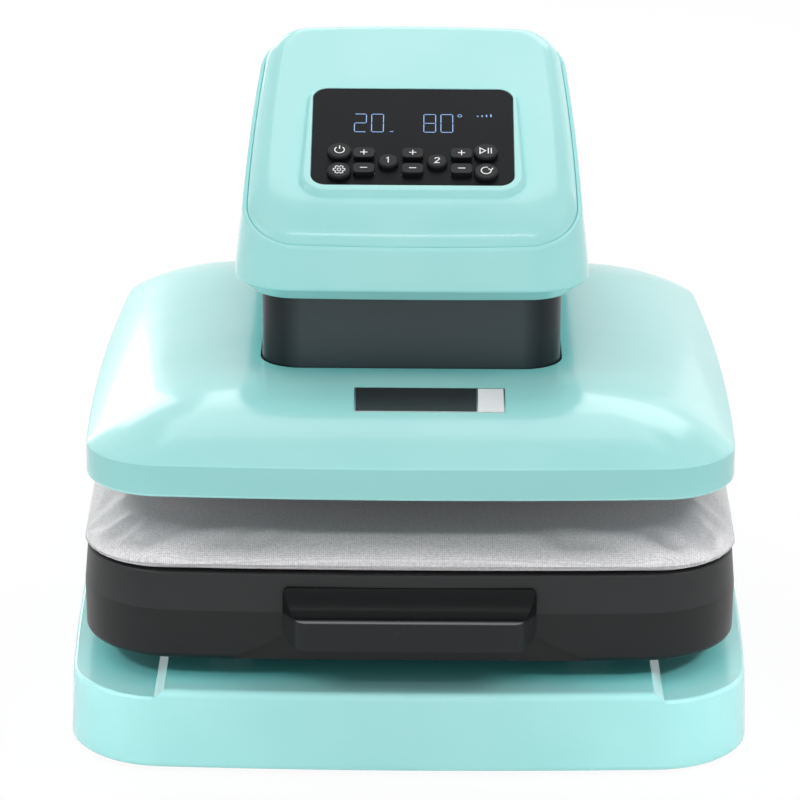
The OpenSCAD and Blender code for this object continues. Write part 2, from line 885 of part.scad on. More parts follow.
module nut_housing() {
    color(steel)
        difference() {
            union() {
                post(0, press_y, nut_flange_r + housing_wall, carrier_top, carrier_top + housing_foot_t);
                post(0, press_y, nut_r + housing_wall, carrier_top, nut_z);
            }
            post(0, press_y, screw_r + housing_room, carrier_top - over, nut_z + over);
            post(0, press_y, nut_r + run_clear, nut_z - nut_seat, nut_z + over);
        }
}

module drive_nut() {
    color(bronze)
        difference() {
            union() {
                post(0, press_y, nut_r, nut_z - nut_seat, nut_z);
                post(0, press_y, nut_flange_r, nut_z, nut_z + nut_flange_t);
            }
            post(0, press_y, screw_r + run_clear, nut_z - nut_seat - over, nut_z + nut_flange_t + over);
        }
}

module lead_screw() {
    color(pale_metal)
        union() {
            post(0, press_y, screw_r, screw_low, beam_z - seat_clear);
            post(0, press_y, collar_r, beam_z - collar_h, beam_z - seat_clear);
            post(0, press_y, journal_r, beam_z - collar_h, screw_top);
        }
}

module screw_gear() {
    color([0.93, 0.91, 0.84])
        difference() {
            union() {
                translate([0, press_y, gear_z]) linear_extrude(gear_face) polygon(gear_outline(gear_teeth));
                post(0, press_y, journal_r + hub_wall, beam_top + seat_clear, gear_z + seat_clear);
            }
            post(0, press_y, journal_r + run_clear, beam_top, gear_z + gear_face + over);
        }
}

module motor_pinion() {
    color(pale_metal)
        union() {
            translate([0, pinion_y, gear_z])
                rotate([0, 0, 270 - 180 / pinion_teeth])
                    linear_extrude(gear_face) polygon(gear_outline(pinion_teeth));
            post(0, pinion_y, shaft_r, beam_z - shaft_in, gear_z + gear_face + shaft_out);
        }
}

module drive_motor() {
    color(charcoal)
        difference() {
            union() {
                post(0, pinion_y, motor_r, beam_z - motor_l, beam_z - motor_flange_t);
                post(0, pinion_y, motor_r + motor_flange, beam_z - motor_flange_t, beam_z);
            }
            post(0, pinion_y, shaft_r + run_clear, beam_z - shaft_in - shaft_room, beam_z + over);
        }
}

// Frame plates and web
frame_low = bottom_top;
frame_sill = 34;
frame_toe = 60;
frame_behind = 10;
frame_upright = 42;
shoulder_drop = 36;
shoulder_in = 14;
shoulder_rise = 6;
pocket_gap = 4;
pocket_run = 12;
pocket_rise = 8;
toe_run = 12;
frame_back = column_back - shell_wall - frame_behind;
frame_neck = frame_back - frame_upright;
arm_floor = under_z + shell_wall;
frame_outline = [
    [press_y + frame_toe, frame_low],
    [frame_back, frame_low],
    [frame_back, arm_low - shoulder_drop],
    [frame_neck - shoulder_in, beam_z + shoulder_rise],
    [beam_y1 + pocket_gap + pocket_run, beam_z + pocket_rise],
    [beam_y1 + pocket_gap, beam_z],
    [beam_y0, beam_z],
    [beam_y0, arm_floor],
    [frame_neck, arm_floor],
    [frame_neck, frame_low + frame_sill],
    [press_y + frame_toe + toe_run, frame_low + frame_sill]];

module left_frame() { color(steel) side_profile(frame_outline, -frame_out, -frame_x); }
module right_frame() { color(steel) side_profile(frame_outline, frame_x, frame_out); }

web_ahead = 6;
web_drop = 40;
web_y = frame_neck + web_ahead;
web_top = under_z - web_drop;
board_gap = 10;
board_w = 124;
board_h = 96;
board_t = 1.6;
board_lift = 59;
board_z = platform_z + board_lift;
board_edge = 8;
board_post_r = 4;
board_posts = [for (x = [-1, 1]) for (z = [0, 1])
    [x * (board_w / 2 - board_edge), board_z + board_edge + z * (board_h - 2 * board_edge)]];

// A round post along Y
module back_post(x, z, r, y0, y1) {
    translate([x, y0, z]) rotate([-90, 0, 0]) cylinder(h = y1 - y0, r = r);
}

module column_web() {
    color(steel)
        union() {
            block(-frame_x, frame_x, web_y, web_y + web_t, platform_z, web_top);
            for (p = board_posts) back_post(p.x, p.y, board_post_r, web_y, web_y + web_t + board_gap);
        }
}

// The parts on the power board: each place from the middle and lower edge of the board, and each size
transformer_at = [-40, 20];
transformer = [34, 13, 36];
terminals_at = [8, 18];
terminals = [36, 9, 18];
capacitor_row = 60;
capacitor_pitch = 14;
capacitor_r = 5;
capacitor_l = 12;

module power_board() {
    y = web_y + web_t + board_gap;
    color(board_green)
        union() {
            block(-board_w / 2, board_w / 2, y, y + board_t, board_z, board_z + board_h);
            translate([transformer_at.x, y, board_z + transformer_at.y]) cube(transformer);
            translate([terminals_at.x, y, board_z + terminals_at.y]) cube(terminals);
            for (i = [0 : 2])
                back_post(terminals_at.x + i * capacitor_pitch + capacitor_r, board_z + capacitor_row,
                    capacitor_r, y, y + capacitor_l);
        }
}

// Column housing: a swan-neck shell from the base up and forward, closing round the back of the head
roof_drop = 3;
roof_top = seam_front + tan(head_slope) * head_d - roof_drop;
roof_reach = 33;
roof_bulge = 48;
roof_steps = 10;
neck_fillet = 24;
neck_steps = 5;
arm_edges = [[1, 14], [0.975, 7], [0.92, 2.4], [0.83, 0]];
head_plan = level(head_w, head_d, head_corner, head_bow, head_y, -seat_clear, 0, 1, head_back_corner);
back_line = [for (i = [0 : arc_steps + side_steps / 2]) [head_plan[i].x, head_plan[i].y]];
// Each side of the arm is upright below the head and leans above it
arm_bend = neck_steps + 4;
arm_end = arm_bend + roof_steps + 1;
arm_caps = [
    concat([arm_end], [for (i = [0 : arm_bend]) i]),
    [for (i = [arm_bend : arm_end]) i]];

function lean(z) = max(0, z - under_z) * tan(head_draft);
function bezier(a, b, c, t) = pow(1 - t, 2) * a + 2 * t * (1 - t) * b + pow(t, 2) * c;
function roof(inset, y0) = [for (i = [0 : roof_steps])
    bezier([y0, roof_top - inset * 1.05],
        [column_back - roof_reach - inset * 0.7, roof_top - roof_bulge - inset],
        [column_back - inset, under_z], i / roof_steps)];
function neck(wall) = [for (i = [0 : neck_steps]) let (a = 90 * i / neck_steps)
    [column_front + wall - neck_fillet, arm_low + wall - neck_fillet] + polar(neck_fillet, a)];
// Section of the arm at one distance from the middle, with its roof and back drawn in by edge
function arm_section(x, edge, wall, z0, y0) =
    let (outline = concat(
        [[column_back - wall - edge, z0]],
        [[column_front + wall, z0]],
        neck(wall),
        [[y0, arm_low + wall], [y0, under_z]],
        roof(wall + edge, y0)))
    [for (p = outline) [x * (1 - lean(p.y) / (head_w / 2)), p.x, p.y]];
// Sections stand where the back of the head has its corners, so that the arm follows it
function arm_rings(wall, z0, ahead) =
    let (half = column_w / 2 - wall)
    let (right = concat([half], [for (p = back_line) if (p.x < half - over) p.x]))
    let (places = concat(right, [for (i = [len(right) - 2 : -1 : 0]) -right[i]]))
    [for (x = places)
        arm_section(x, lookup(abs(x) / half, arm_edges), wall, z0, lookup(abs(x), back_line) - ahead)];

rear_lift = 19;
rear_z = platform_z + rear_lift;
rear_sink = 1;
rear_face = column_back - rear_sink;
rear_t = 3;
rear_seat = rear_face - rear_t;
rear_ledge = 4;
ledge_t = 3;
rear_boss_r = 8;
rear_boss_l = 10;
rear_screw_r = 1.75;
rear_screw_head = 4;
rear_screw_head_t = 1;
rear_screw_l = 9;
rear_screw_edge = 10;
rear_points = [for (x = [-1, 1]) for (z = [rear_screw_edge, rear_h - rear_screw_edge])
    [x * (rear_w / 2 - rear_screw_edge), rear_z + z]];

// A block round the rear opening, wider than it by grow
module rear_block(grow, y0, y1) {
    block(-rear_w / 2 - grow, rear_w / 2 + grow, y0, y1, rear_z - grow, rear_z + rear_h + grow);
}

module column_housing() {
    color(mint)
        difference() {
            union() {
                difference() {
                    loft(arm_rings(0, platform_z, 0), arm_caps);
                    loft(arm_rings(shell_wall, platform_z - over, over), arm_caps);
                }
                difference() {
                    rear_block(rear_ledge, rear_seat - ledge_t, rear_face);
                    rear_block(-rear_ledge, rear_seat - ledge_t - over, column_back + over);
                }
                for (p = rear_points) back_post(p.x, p.y, rear_boss_r, rear_seat - rear_boss_l, rear_seat);
            }
            rear_block(0, rear_seat, column_back + over);
            for (p = rear_points)
                back_post(p.x, p.y, rear_screw_r + run_clear, rear_face - rear_screw_l - over, rear_face);
            sleeve_way(lip_z, arm_floor + over);
        }
}

// Rear cover with its air slots, inlet and switch
slot_count = 9;
slot_w = 92;
slot_h = 4;
slot_pitch = 8.4;
slot_low = 64;
inlet_x = -36;
switch_x = 36;
fitting_lift = 26;
fitting_z = rear_z + fitting_lift;
inlet_w = 27;
inlet_h = 20;
switch_w = 22;
switch_h = 30;

// An opening in the rear cover, w by h with a seating clearance
module rear_window(x, w, h) {
    half_w = w / 2 + seat_clear;
    half_h = h / 2 + seat_clear;
    block(x - half_w, x + half_w, rear_seat - over, rear_face + over, fitting_z - half_h, fitting_z + half_h);
}

module rear_cover() {
    color(mint)
        difference() {
            rear_block(-seat_clear, rear_seat, rear_face);
            for (i = [0 : slot_count - 1])
                translate([0, rear_face + over, rear_z + slot_low + i * slot_pitch])
                    rotate([90, 0, 0])
                        linear_extrude(rear_t + 2 * over) polygon(plan(slot_w, slot_h, slot_h / 2 - tiny));
            rear_window(inlet_x, inlet_w, inlet_h);
            rear_window(switch_x, switch_w, switch_h);
            for (p = rear_points)
                back_post(p.x, p.y, rear_screw_r + run_clear, rear_seat - over, rear_face + over);
        }
}

module rear_screws() {
    color(steel)
        for (p = rear_points) {
            back_post(p.x, p.y, rear_screw_head, rear_face, rear_face + rear_screw_head_t);
            back_post(p.x, p.y, rear_screw_r, rear_face - rear_screw_l, rear_face + tiny);
        }
}

// Mains inlet: a recess with three blades
inlet_depth = 22;
flange_out = 3;
fitting_flange_t = 1;
socket_w = 21;
socket_h = 14.5;
socket_depth = 16;
blade_points = [[-7, -3], [7, -3], [0, 3]];
blade_w = 2;
blade_h = 4;
blade_back = 3;

// Flange of a fitting that lies on the rear cover
module fitting_flange(w, h) {
    x = w / 2 + flange_out;
    z = h / 2 + flange_out;
    block(-x, x, 0, fitting_flange_t, -z, z);
}

module mains_inlet() {
    color(charcoal)
        translate([inlet_x, rear_face, fitting_z])
            difference() {
                union() {
                    fitting_flange(inlet_w, inlet_h);
                    block(-inlet_w / 2, inlet_w / 2, -inlet_depth, tiny, -inlet_h / 2, inlet_h / 2);
                }
                difference() {
                    block(-socket_w / 2, socket_w / 2, -socket_depth, fitting_flange_t + over,
                        -socket_h / 2, socket_h / 2);
                    for (p = blade_points)
                        block(p.x - blade_w / 2, p.x + blade_w / 2, -socket_depth - over, -blade_back,
                            p.y - blade_h / 2, p.y + blade_h / 2);
                }
            }
}

// Power switch: a rocker on a pin in an open body
rocker_r = 13;
rocker_tilt = 8;
rocker_w = 15;
rocker_pin_r = 2;
rocker_sink = 8;
rocker_room = 3.5;
switch_wall = 2.5;
switch_floor = 4;
rocker_half = 46;
rocker_dip = 2.6;

module switch_body() {
    well_w = switch_w - 2 * switch_wall;
    well_h = switch_h - 2 * switch_wall;
    well_floor = -rocker_sink - rocker_room;
    color(charcoal)
        translate([switch_x, rear_face, fitting_z])
            difference() {
                union() {
                    fitting_flange(switch_w, switch_h);
                    block(-switch_w / 2, switch_w / 2, well_floor - switch_floor, tiny,
                        -switch_h / 2, switch_h / 2);
                }
                block(-well_w / 2, well_w / 2, well_floor, fitting_flange_t + over, -well_h / 2, well_h / 2);
                translate([-switch_w / 2 - over, -rocker_sink, 0])
                    rotate([0, 90, 0]) cylinder(h = switch_w + 2 * over, r = rocker_pin_r + run_clear);
            }
}

module power_rocker() {
    color([0.1, 0.1, 0.1])
        translate([switch_x, rear_face - rocker_sink, fitting_z])
            rotate([rocker_tilt, 0, 0])
                union() {
                    side_profile([
                        [-rocker_dip, -rocker_pin_r - 1], [-rocker_dip, rocker_pin_r + 1],
                        polar(rocker_r, rocker_half), [rocker_r - rocker_dip, 0],
                        polar(rocker_r, -rocker_half)],
                        -rocker_w / 2, rocker_w / 2);
                    translate([-switch_w / 2 + seat_clear, 0, 0])
                        rotate([0, 90, 0]) cylinder(h = switch_w - 2 * seat_clear, r = rocker_pin_r);
                }
}

// Head: a tub with leaning sides, cut off by the sloping seam
function seam(y) = seam_front + tan(head_slope) * (y - head_front);
function leaning(points) = [for (p = points) [p.x * (1 - lean(p.z) / (head_w / 2)), p.y, p.z]];
function head_level(inset, z) =
    leaning(level(head_w, head_d, head_corner, head_bow, head_y, inset, z, 1, head_back_corner));
function head_slant(inset, lift) = leaning(
    [for (p = level(head_w, head_d, head_corner, head_bow, head_y, inset, 0, 1, head_back_corner))
        [p.x, p.y, seam(p.y) + lift]]);

rim_round = 1.2;
toe_round = 3;
window_rise = 22;
window_room = 1.5;
window_top = beam_z + window_rise;
window_x = frame_out + window_room;

module head_outside() {
    loft([
        head_level(lip_inset, lip_z),
        head_level(toe_round, under_z),
        head_level(toe_round * 0.3, under_z + toe_round * 0.3),
        head_level(0, under_z + toe_round),
        head_slant(0, -rim_round),
        head_slant(rim_round, 0)]);
}

module head_housing() {
    ledge = 4;
    color(mint)
        difference() {
            head_outside();
            // Inside of the tub, with a ledge under the cover
            loft([head_level(shell_wall, arm_floor), head_slant(shell_wall, -shell_wall - 2 * ledge),
                head_slant(shell_wall + ledge, -shell_wall - ledge), head_slant(shell_wall + ledge, over)]);
            loft([head_slant(shell_wall, -shell_wall), head_slant(shell_wall, over)]);
            // Way for the sleeve and for the frame
            sleeve_way(lip_z - over, arm_floor + over);
            block(-window_x, window_x, head_back - head_back_corner, head_back + over, arm_floor, window_top);
        }
}

lid_inset = shell_wall + seat_clear / 2;
// The cover's rolled edge: shares of its width drawn in and of the crown risen
lid_edge = [[0, 0], [0.05, 0.31], [0.2, 0.6], [0.45, 0.835], [0.7, 0.954], [1, 1]];
// The roll is wider at the front than at the back by this share
lid_shift = 0.4;
lid_keep = 0.5;

// One level of the cover, drawn in by inset along its roll and by wall at every place
function lid_level(inset, lift, wall) =
    let (grown = 2 * (lid_inset + wall), off = lid_inset + wall)
    leaning([for (p = level(head_w - grown, head_d - grown, head_corner - off, head_bow, head_y, inset, 0,
            lid_keep, head_back_corner - off))
        let (y = p.y + lid_shift * inset)
        [p.x, y, seam(y) + lift - wall]]);
function lid_levels(wall) = concat(
    [lid_level(0, -shell_wall, wall)],
    [for (e = lid_edge) lid_level(lid_roll * e[0], lid_crown * e[1], wall)]);

// Places on the sloping panel: X across, Y up the slope, Z out of the panel
panel_forward = 18;
panel_y = head_y - panel_forward;
panel_z = seam(panel_y) + lid_crown;
module on_panel() {
    translate([0, panel_y, panel_z])
        rotate([head_slope, 0, 0])
            children();
}

panel_ledge = 3;
board_drop = 7;

// Outline of the control panel, wider than it by grow on every side
module panel_plan(grow) {
    polygon(plan(panel_w + 2 * grow, panel_l + 2 * grow, panel_corner + grow));
}

module head_cover() {
    color(mint)
        difference() {
            union() {
                difference() {
                    loft(lid_levels(0));
                    loft(lid_levels(shell_wall));
                }
                on_panel()
                    translate([0, 0, -shell_wall])
                        linear_extrude(shell_wall + bezel_h) panel_plan(bezel_w);
            }
            on_panel()
                linear_extrude(bezel_h + over) panel_plan(seat_clear);
            on_panel()
                translate([0, 0, -4 * shell_wall])
                    linear_extrude(8 * shell_wall) panel_plan(-panel_ledge);
        }
}

// Control panel, keys and the board behind them
key_columns = [for (i = [-3 : 3]) i * key_pitch];
post_edge = 7.5;
post_r = 3;
post_points = [for (x = [-1, 1]) for (y = [-key_drop, panel_l / 2 - post_edge - post_r])
    [x * (panel_w / 2 - post_edge), y]];
round_keys = [for (i = [0, 6]) for (s = [1, -1]) [key_columns[i], s * round_step - key_drop]];
bar_keys = [for (i = [1, 3, 5]) for (s = [1, -1]) [key_columns[i], s * bar_step - key_drop]];
preset_keys = [for (i = [2, 4]) [key_columns[i], -key_drop]];
key_flange = seat_clear + 0.2;
flange_t = 1.2;
stem_r = 3;
stem_l = 1;
key_edge = 1;
bar_corner = 3;
key_foot = -seat_clear - flange_t;
key_top = panel_t + key_proud;

module bar_plan(grow) {
    polygon(plan(bar_w + 2 * grow, bar_h + 2 * grow, bar_corner + grow));
}

module control_panel() {
    depth = panel_t + 2 * over;
    color([0.12, 0.12, 0.13])
        on_panel()
            difference() {
                union() {
                    linear_extrude(panel_t) panel_plan(0);
                    for (p = post_points) post(p.x, p.y, post_r, -board_drop, tiny);
                }
                translate([0, 0, -over]) {
                    for (p = round_keys) post(p.x, p.y, round_r + seat_clear, 0, depth);
                    for (p = preset_keys) post(p.x, p.y, preset_r + seat_clear, 0, depth);
                    for (p = bar_keys) translate([p.x, p.y, 0]) linear_extrude(depth) bar_plan(seat_clear);
                }
            }
}

module key_stem() {
    post(0, 0, stem_r, key_foot - stem_l, 0);
}

module round_key(p, r) {
    color([0.14, 0.14, 0.15])
        on_panel()
            translate([p.x, p.y, 0])
                union() {
                    post(0, 0, r + key_flange, key_foot, -seat_clear);
                    post(0, 0, r, key_foot, key_top - key_edge);
                    translate([0, 0, key_top - key_edge]) cylinder(h = key_edge, r1 = r, r2 = r - key_edge);
                    key_stem();
                }
}

module bar_key(p) {
    color([0.14, 0.14, 0.15])
        on_panel()
            translate([p.x, p.y, 0])
                union() {
                    translate([0, 0, key_foot]) linear_extrude(flange_t) bar_plan(key_flange);
                    translate([0, 0, key_foot]) linear_extrude(key_top - key_edge / 2 - key_foot) bar_plan(0);
                    translate([0, 0, key_top - key_edge]) linear_extrude(key_edge) bar_plan(-key_edge / 2);
                    key_stem();
                }
}

module power_key() { round_key(round_keys[0], round_r); }
module settings_key() { round_key(round_keys[1], round_r); }
module start_key() { round_key(round_keys[2], round_r); }
module repeat_key() { round_key(round_keys[3], round_r); }
module time_plus_key() { bar_key(bar_keys[0]); }
module time_minus_key() { bar_key(bar_keys[1]); }
module heat_plus_key() { bar_key(bar_keys[2]); }
module heat_minus_key() { bar_key(bar_keys[3]); }
module force_plus_key() { bar_key(bar_keys[4]); }
module force_minus_key() { bar_key(bar_keys[5]); }
module first_preset_key() { round_key(preset_keys[0], preset_r); }
module second_preset_key() { round_key(preset_keys[1], preset_r); }

module control_board() {
    color(board_green)
        on_panel()
            translate([0, 0, -board_drop - board_t])
                linear_extrude(board_t) panel_plan(-panel_ledge - over);
}

display_left = -47;
display_right = 55;
display_h = 30;
module display_module() {
    color([0.1, 0.12, 0.16])
        on_panel()
            block(display_left, display_right, 0, display_h, -board_drop, -seat_clear);
}

module key_switches() {
    color(charcoal)
        on_panel()
            for (p = concat(round_keys, bar_keys, preset_keys))
                block(p.x - stem_r, p.x + stem_r, p.y - stem_r, p.y + stem_r, -board_drop,
                    key_foot - stem_l - key_travel - seat_clear);
}

base_shell();
bottom_plate();
rubber_feet();
base_screws();
left_rail();
right_rail();
left_frame();
right_frame();
column_web();
column_housing();
rear_cover();
rear_screws();
power_board();
mains_inlet();
switch_body();
power_rocker();
head_housing();
head_cover();
control_panel();
control_board();
display_module();
key_switches();
press_beam();
thrust_bearing();
guide_bushes();
drive_motor();
motor_pinion();
screw_gear();
lead_screw();
drive_nut();
nut_housing();
guide_rods();
press_sleeve();
platen_cover();
platen_carrier();
standoffs();
insulation_felt();
heating_element();
heating_plate();
thermostat();
drawer_tray();
drawer_handle();
lower_platen();
foam_pad();
pad_cover();
left_runner();
right_runner();
power_key();
settings_key();
time_plus_key();
time_minus_key();
first_preset_key();
heat_plus_key();
heat_minus_key();
second_preset_key();
force_plus_key();
force_minus_key();
start_key();
repeat_key();
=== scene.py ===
import math

import bmesh
import bpy
import numpy as np
from mathutils import Matrix, Vector
from mathutils.bvhtree import BVHTree


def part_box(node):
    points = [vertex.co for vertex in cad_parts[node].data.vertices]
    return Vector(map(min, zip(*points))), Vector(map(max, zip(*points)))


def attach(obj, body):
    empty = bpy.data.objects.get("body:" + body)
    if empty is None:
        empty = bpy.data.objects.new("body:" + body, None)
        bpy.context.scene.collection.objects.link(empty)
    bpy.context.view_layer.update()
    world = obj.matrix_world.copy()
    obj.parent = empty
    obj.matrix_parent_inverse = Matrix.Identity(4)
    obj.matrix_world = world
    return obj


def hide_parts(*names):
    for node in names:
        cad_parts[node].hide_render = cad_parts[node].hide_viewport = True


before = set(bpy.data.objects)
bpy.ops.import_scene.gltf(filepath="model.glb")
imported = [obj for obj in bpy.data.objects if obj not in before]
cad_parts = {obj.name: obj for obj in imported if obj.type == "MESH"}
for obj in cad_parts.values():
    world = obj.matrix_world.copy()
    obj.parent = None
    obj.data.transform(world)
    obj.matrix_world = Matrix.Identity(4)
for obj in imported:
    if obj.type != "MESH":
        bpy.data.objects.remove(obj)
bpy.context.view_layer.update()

# Places and sizes below are millimetres in the CAD frame; meshes are made in metres
MM = 0.001
# How far a cutting piece reaches past what it cuts, and further where the wall bows or slants
OVER = 1.0
REACH = 9.0


def box(node):
    low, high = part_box(node)
    return np.array(low) / MM, np.array(high) / MM


base_low, base_high = box("base_shell")
tray_low, tray_high = box("drawer_tray")
handle_low, handle_high = box("drawer_handle")
pad_low, pad_high = box("pad_cover")
cover_low, cover_high = box("platen_cover")
sleeve_low, sleeve_high = box("press_sleeve")
head_low, head_high = box("head_housing")
column_low, column_high = box("column_housing")
rear_low, rear_high = box("rear_cover")
bottom_low, bottom_high = box("bottom_plate")
lower_low = box("lower_platen")[0]

# Driving sizes of the shells
WALL = 3.0
SEAT = 0.3
SHELL_BOW = 8.0
SLOPE = math.radians(26)
LEAN = math.tan(math.radians(6.7))

BASE_W, BASE_D = (base_high - base_low)[:2]
BASE_CORNER = 58.0
BASE_TOE = 2.5
BASE_DRAFT = 1.5
BASE_EDGE = 2.5
PLATFORM_RISE = 5.0
PLATFORM_HALF = 164.0
PLATFORM_SLOPE = 6.5
LEDGE_Z = base_high[2] - PLATFORM_RISE

TRAY_W, TRAY_D = (tray_high - tray_low)[:2]
TRAY_CORNER = BASE_CORNER - 2
TRAY_FOOT = 5.0
TRAY_LEAN = 2.0
TRAY_RIM = 12.0
CREASE_H = 35.0
CREASE_Z = tray_low[2] + CREASE_H
SCOOP_H = 18.0
SCOOP_TOP = 87.0
SCOOP_FLARE = 30.0
SCOOP_DEPTH = 6.0
PULL_FACE = 19.0
PULL_ROUND = 1.2
PULL_EDGE = handle_low[2] + PULL_FACE + 1
PULL_FLARE = 11.0
PULL_CORNER = 6.0
PULL_WALL = 4.0

COVER_D = (cover_high - cover_low)[1]
COVER_W = COVER_D
COVER_CORNER = 46.0
COVER_TAPER = 8.0
COVER_EDGE = 1.0
PRESS_Y = (cover_low[1] + cover_high[1]) / 2
RIM_H = 23.0
DOME_FOOT = cover_low[2] + RIM_H
DOME_RUN = 102.0
DOME_CURVE = 2.5
# The corners tighten going up the dome, down to this radius at its top
DOME_TOP_CORNER = 20.0
DOME_KEEP = (COVER_CORNER - DOME_TOP_CORNER) / (COVER_EDGE + DOME_RUN)

PAD_W, PAD_D = (pad_high - pad_low)[:2]
PAD_MARGIN = 3.5
PAD_CORNER = TRAY_CORNER - PAD_MARGIN
PAD_KEEP = 0.3
SLEEVE_W = (sleeve_high - sleeve_low)[0]
SLEEVE_CORNER = 27.0
# Room round the sleeve where it meets the cover and where it slides into the head
HOLE_ROOM, WAY_ROOM = 1.0, 1.3

HEAD_TOE = 3.0
HEAD_W = (head_high - head_low)[0] + 2 * HEAD_TOE * LEAN
HEAD_D = (head_high - head_low)[1]
HEAD_Y = (head_low[1] + head_high[1]) / 2
HEAD_CORNER = 38.0
HEAD_BACK_CORNER = 28.0
HEAD_BOW = 3.0
LIP_IN = 12.0
LIP_H = 8.0
UNDER_Z = head_low[2] + LIP_H
TUB_FRONT_H = 30.0
SEAM_FRONT = UNDER_Z + TUB_FRONT_H
LID_ROLL = 18.0
LID_SHIFT = 0.4
CROWN = 13.0
WINDOW_HALF, WINDOW_D, WINDOW_H = 110.0, 14.0, 48.0

PANEL_W, PANEL_D, PANEL_CORNER, PANEL_T = 136.0, 100.0, 10.0, 2.5
PANEL_AHEAD = 18.0
PANEL_Y = HEAD_Y - PANEL_AHEAD
PANEL_Z = SEAM_FRONT + math.tan(SLOPE) * (PANEL_Y - head_low[1]) + CROWN
BEZEL_H = 4.0
BEZEL_PROUD = 0.2
BEZEL_LAND, LAND_GROWTH = 1.6, 3.2
BEZEL_SKIRT, SKIRT_GROWTH = 2.4, 1.8
KEY_TOP = 6.0
PRINT_T = 0.12

COLUMN_W = (column_high - column_low)[0]
COLUMN_FRONT = 203.0
ARM_LIFT = 2.0
ARM_FILLET = 24.0
# Shares of the arm's half width that are flat and rolled, and how deep its sides roll
ARM_FLAT, ARM_ROLLED = 0.83, 0.17
ARM_ROLL = 14.0
ROOF_DROP = 3.0
ROOF_PULL = (33.0, 48.0)
REAR_LAND = 5.0


# Shape helpers

def plan(w, d, r, bow=0.0, back_r=None, arc=14, side=22):
    """Outline of a rounded rectangle whose sides bow outward, against the clock from the +X +Y corner."""
    a, b = w / 2 - bow, d / 2 - bow
    radii = (r if back_r is None else back_r,) * 2 + (r, r)
    corners = []
    for k, (sx, sy) in enumerate(((1, 1), (-1, 1), (-1, -1), (1, -1))):
        turn = np.radians(90 * (k + np.arange(arc + 1) / arc))
        centre = np.array([sx * (a - radii[k]), sy * (b - radii[k])])
        corners.append(centre + radii[k] * np.stack([np.cos(turn), np.sin(turn)], 1))
    rows = []
    for k in range(4):
        start, end = corners[k][-1], corners[(k + 1) % 4][0]
        share = np.arange(1, side)[:, None] / side
        rows += [corners[k], start + (end - start) * share]
    x, y = np.vstack(rows).T
    return np.stack([x + np.sign(x) * bow * (1 - (y / b) ** 2), y + np.sign(y) * bow * (1 - (x / a) ** 2)], 1)


def level(size, y, inset, z, keep=1.0):
    """One ring of a shell: the outline (w, d, r, bow) drawn in by inset, at height z."""
    w, d, r, bow = size
    flat = plan(w - 2 * inset, d - 2 * inset, r - keep * inset, bow)
    return np.column_stack([flat[:, 0], flat[:, 1] + y, np.full(len(flat), z)])


def roll(start, end, steps=7, rising=True):
    """Quarter ellipse from start to end as (inset, z): rising leaves start upright, else level."""
    turn = np.radians(np.linspace(0, 90, steps + 1))
    (a, b), (c, d) = start, end
    if rising:
        return [(a + (c - a) * (1 - math.cos(t)), b + (d - b) * math.sin(t)) for t in turn]
    return [(a + (c - a) * math.sin(t), b + (d - b) * (1 - math.cos(t))) for t in turn]


def mesh_object(name, verts, faces):
    mesh = bpy.data.meshes.new(name)
    mesh.from_pydata((np.asarray(verts, float) * MM).tolist(), [], faces)
    obj = bpy.data.objects.new(name, mesh)
    bpy.context.scene.collection.objects.link(obj)
    shape = bmesh.new()
    shape.from_mesh(mesh)
    bmesh.ops.recalc_face_normals(shape, faces=shape.faces)
    shape.to_mesh(mesh)
    shape.free()
    return obj


def loft_faces(rings, closed=False, caps=None):
    n, count = len(rings[0]), len(rings)
    faces = []
    for j in range(count if closed else count - 1):
        a, b = j * n, (j + 1) % count * n
        faces += [(a + i, a + (i + 1) % n, b + (i + 1) % n, b + i) for i in range(n)]
    if not closed:
        last = (count - 1) * n
        for end in caps or [range(n)]:
            faces.append(tuple(end)[::-1])
            faces.append(tuple(last + i for i in end))
    return faces


def loft(name, rings, closed=False, caps=None):
    return mesh_object(name, np.vstack(rings), loft_faces(rings, closed, caps))


def block(name, low, high):
    (x0, y0, z0), (x1, y1, z1) = low, high
    return loft(name, [[(x0, y0, z), (x1, y0, z), (x1, y1, z), (x0, y1, z)] for z in (z0, z1)])


def settle(obj):
    """Gives obj the mesh that its modifiers make."""
    graph = bpy.context.evaluated_depsgraph_get()
    made = bpy.data.meshes.new_from_object(obj.evaluated_get(graph))
    obj.modifiers.clear()
    old = obj.data
    obj.data = made
    bpy.data.meshes.remove(old)
    return obj


def join(obj, tool, operation):
    """Cuts, adds or keeps the common part of obj and tool, and removes tool."""
    step = obj.modifiers.new("join", "BOOLEAN")
    step.operation, step.object, step.solver = operation, tool, "EXACT"
    settle(obj)
    bpy.data.objects.remove(tool)
    return obj


def bevel(obj, width, segments=3, angle=35):
    step = obj.modifiers.new("bevel", "BEVEL")
    step.width, step.segments = width * MM, segments
    step.limit_method, step.angle_limit = "ANGLE", math.radians(angle)
    return obj


def smooth(obj, angle=40):
    obj.data.shade_smooth()
    obj.data.set_sharp_from_angle(angle=math.radians(angle))
    step = obj.modifiers.new("shade", "WEIGHTED_NORMAL")
    step.keep_sharp = True
    return obj


def place(obj, body, material, replaces=()):
    """Paints a piece, sets it on its body and hides the CAD nodes it stands for."""
    obj.data.materials.clear()
    obj.data.materials.append(material)
    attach(obj, body)
    if replaces:
        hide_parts(*replaces)
    return obj


# Materials

def srgb(r, g, b):
    def linear(c):
        c = c / 255
        return c / 12.92 if c <= 0.04045 else ((c + 0.055) / 1.055) ** 2.4
    return (linear(r), linear(g), linear(b), 1.0)


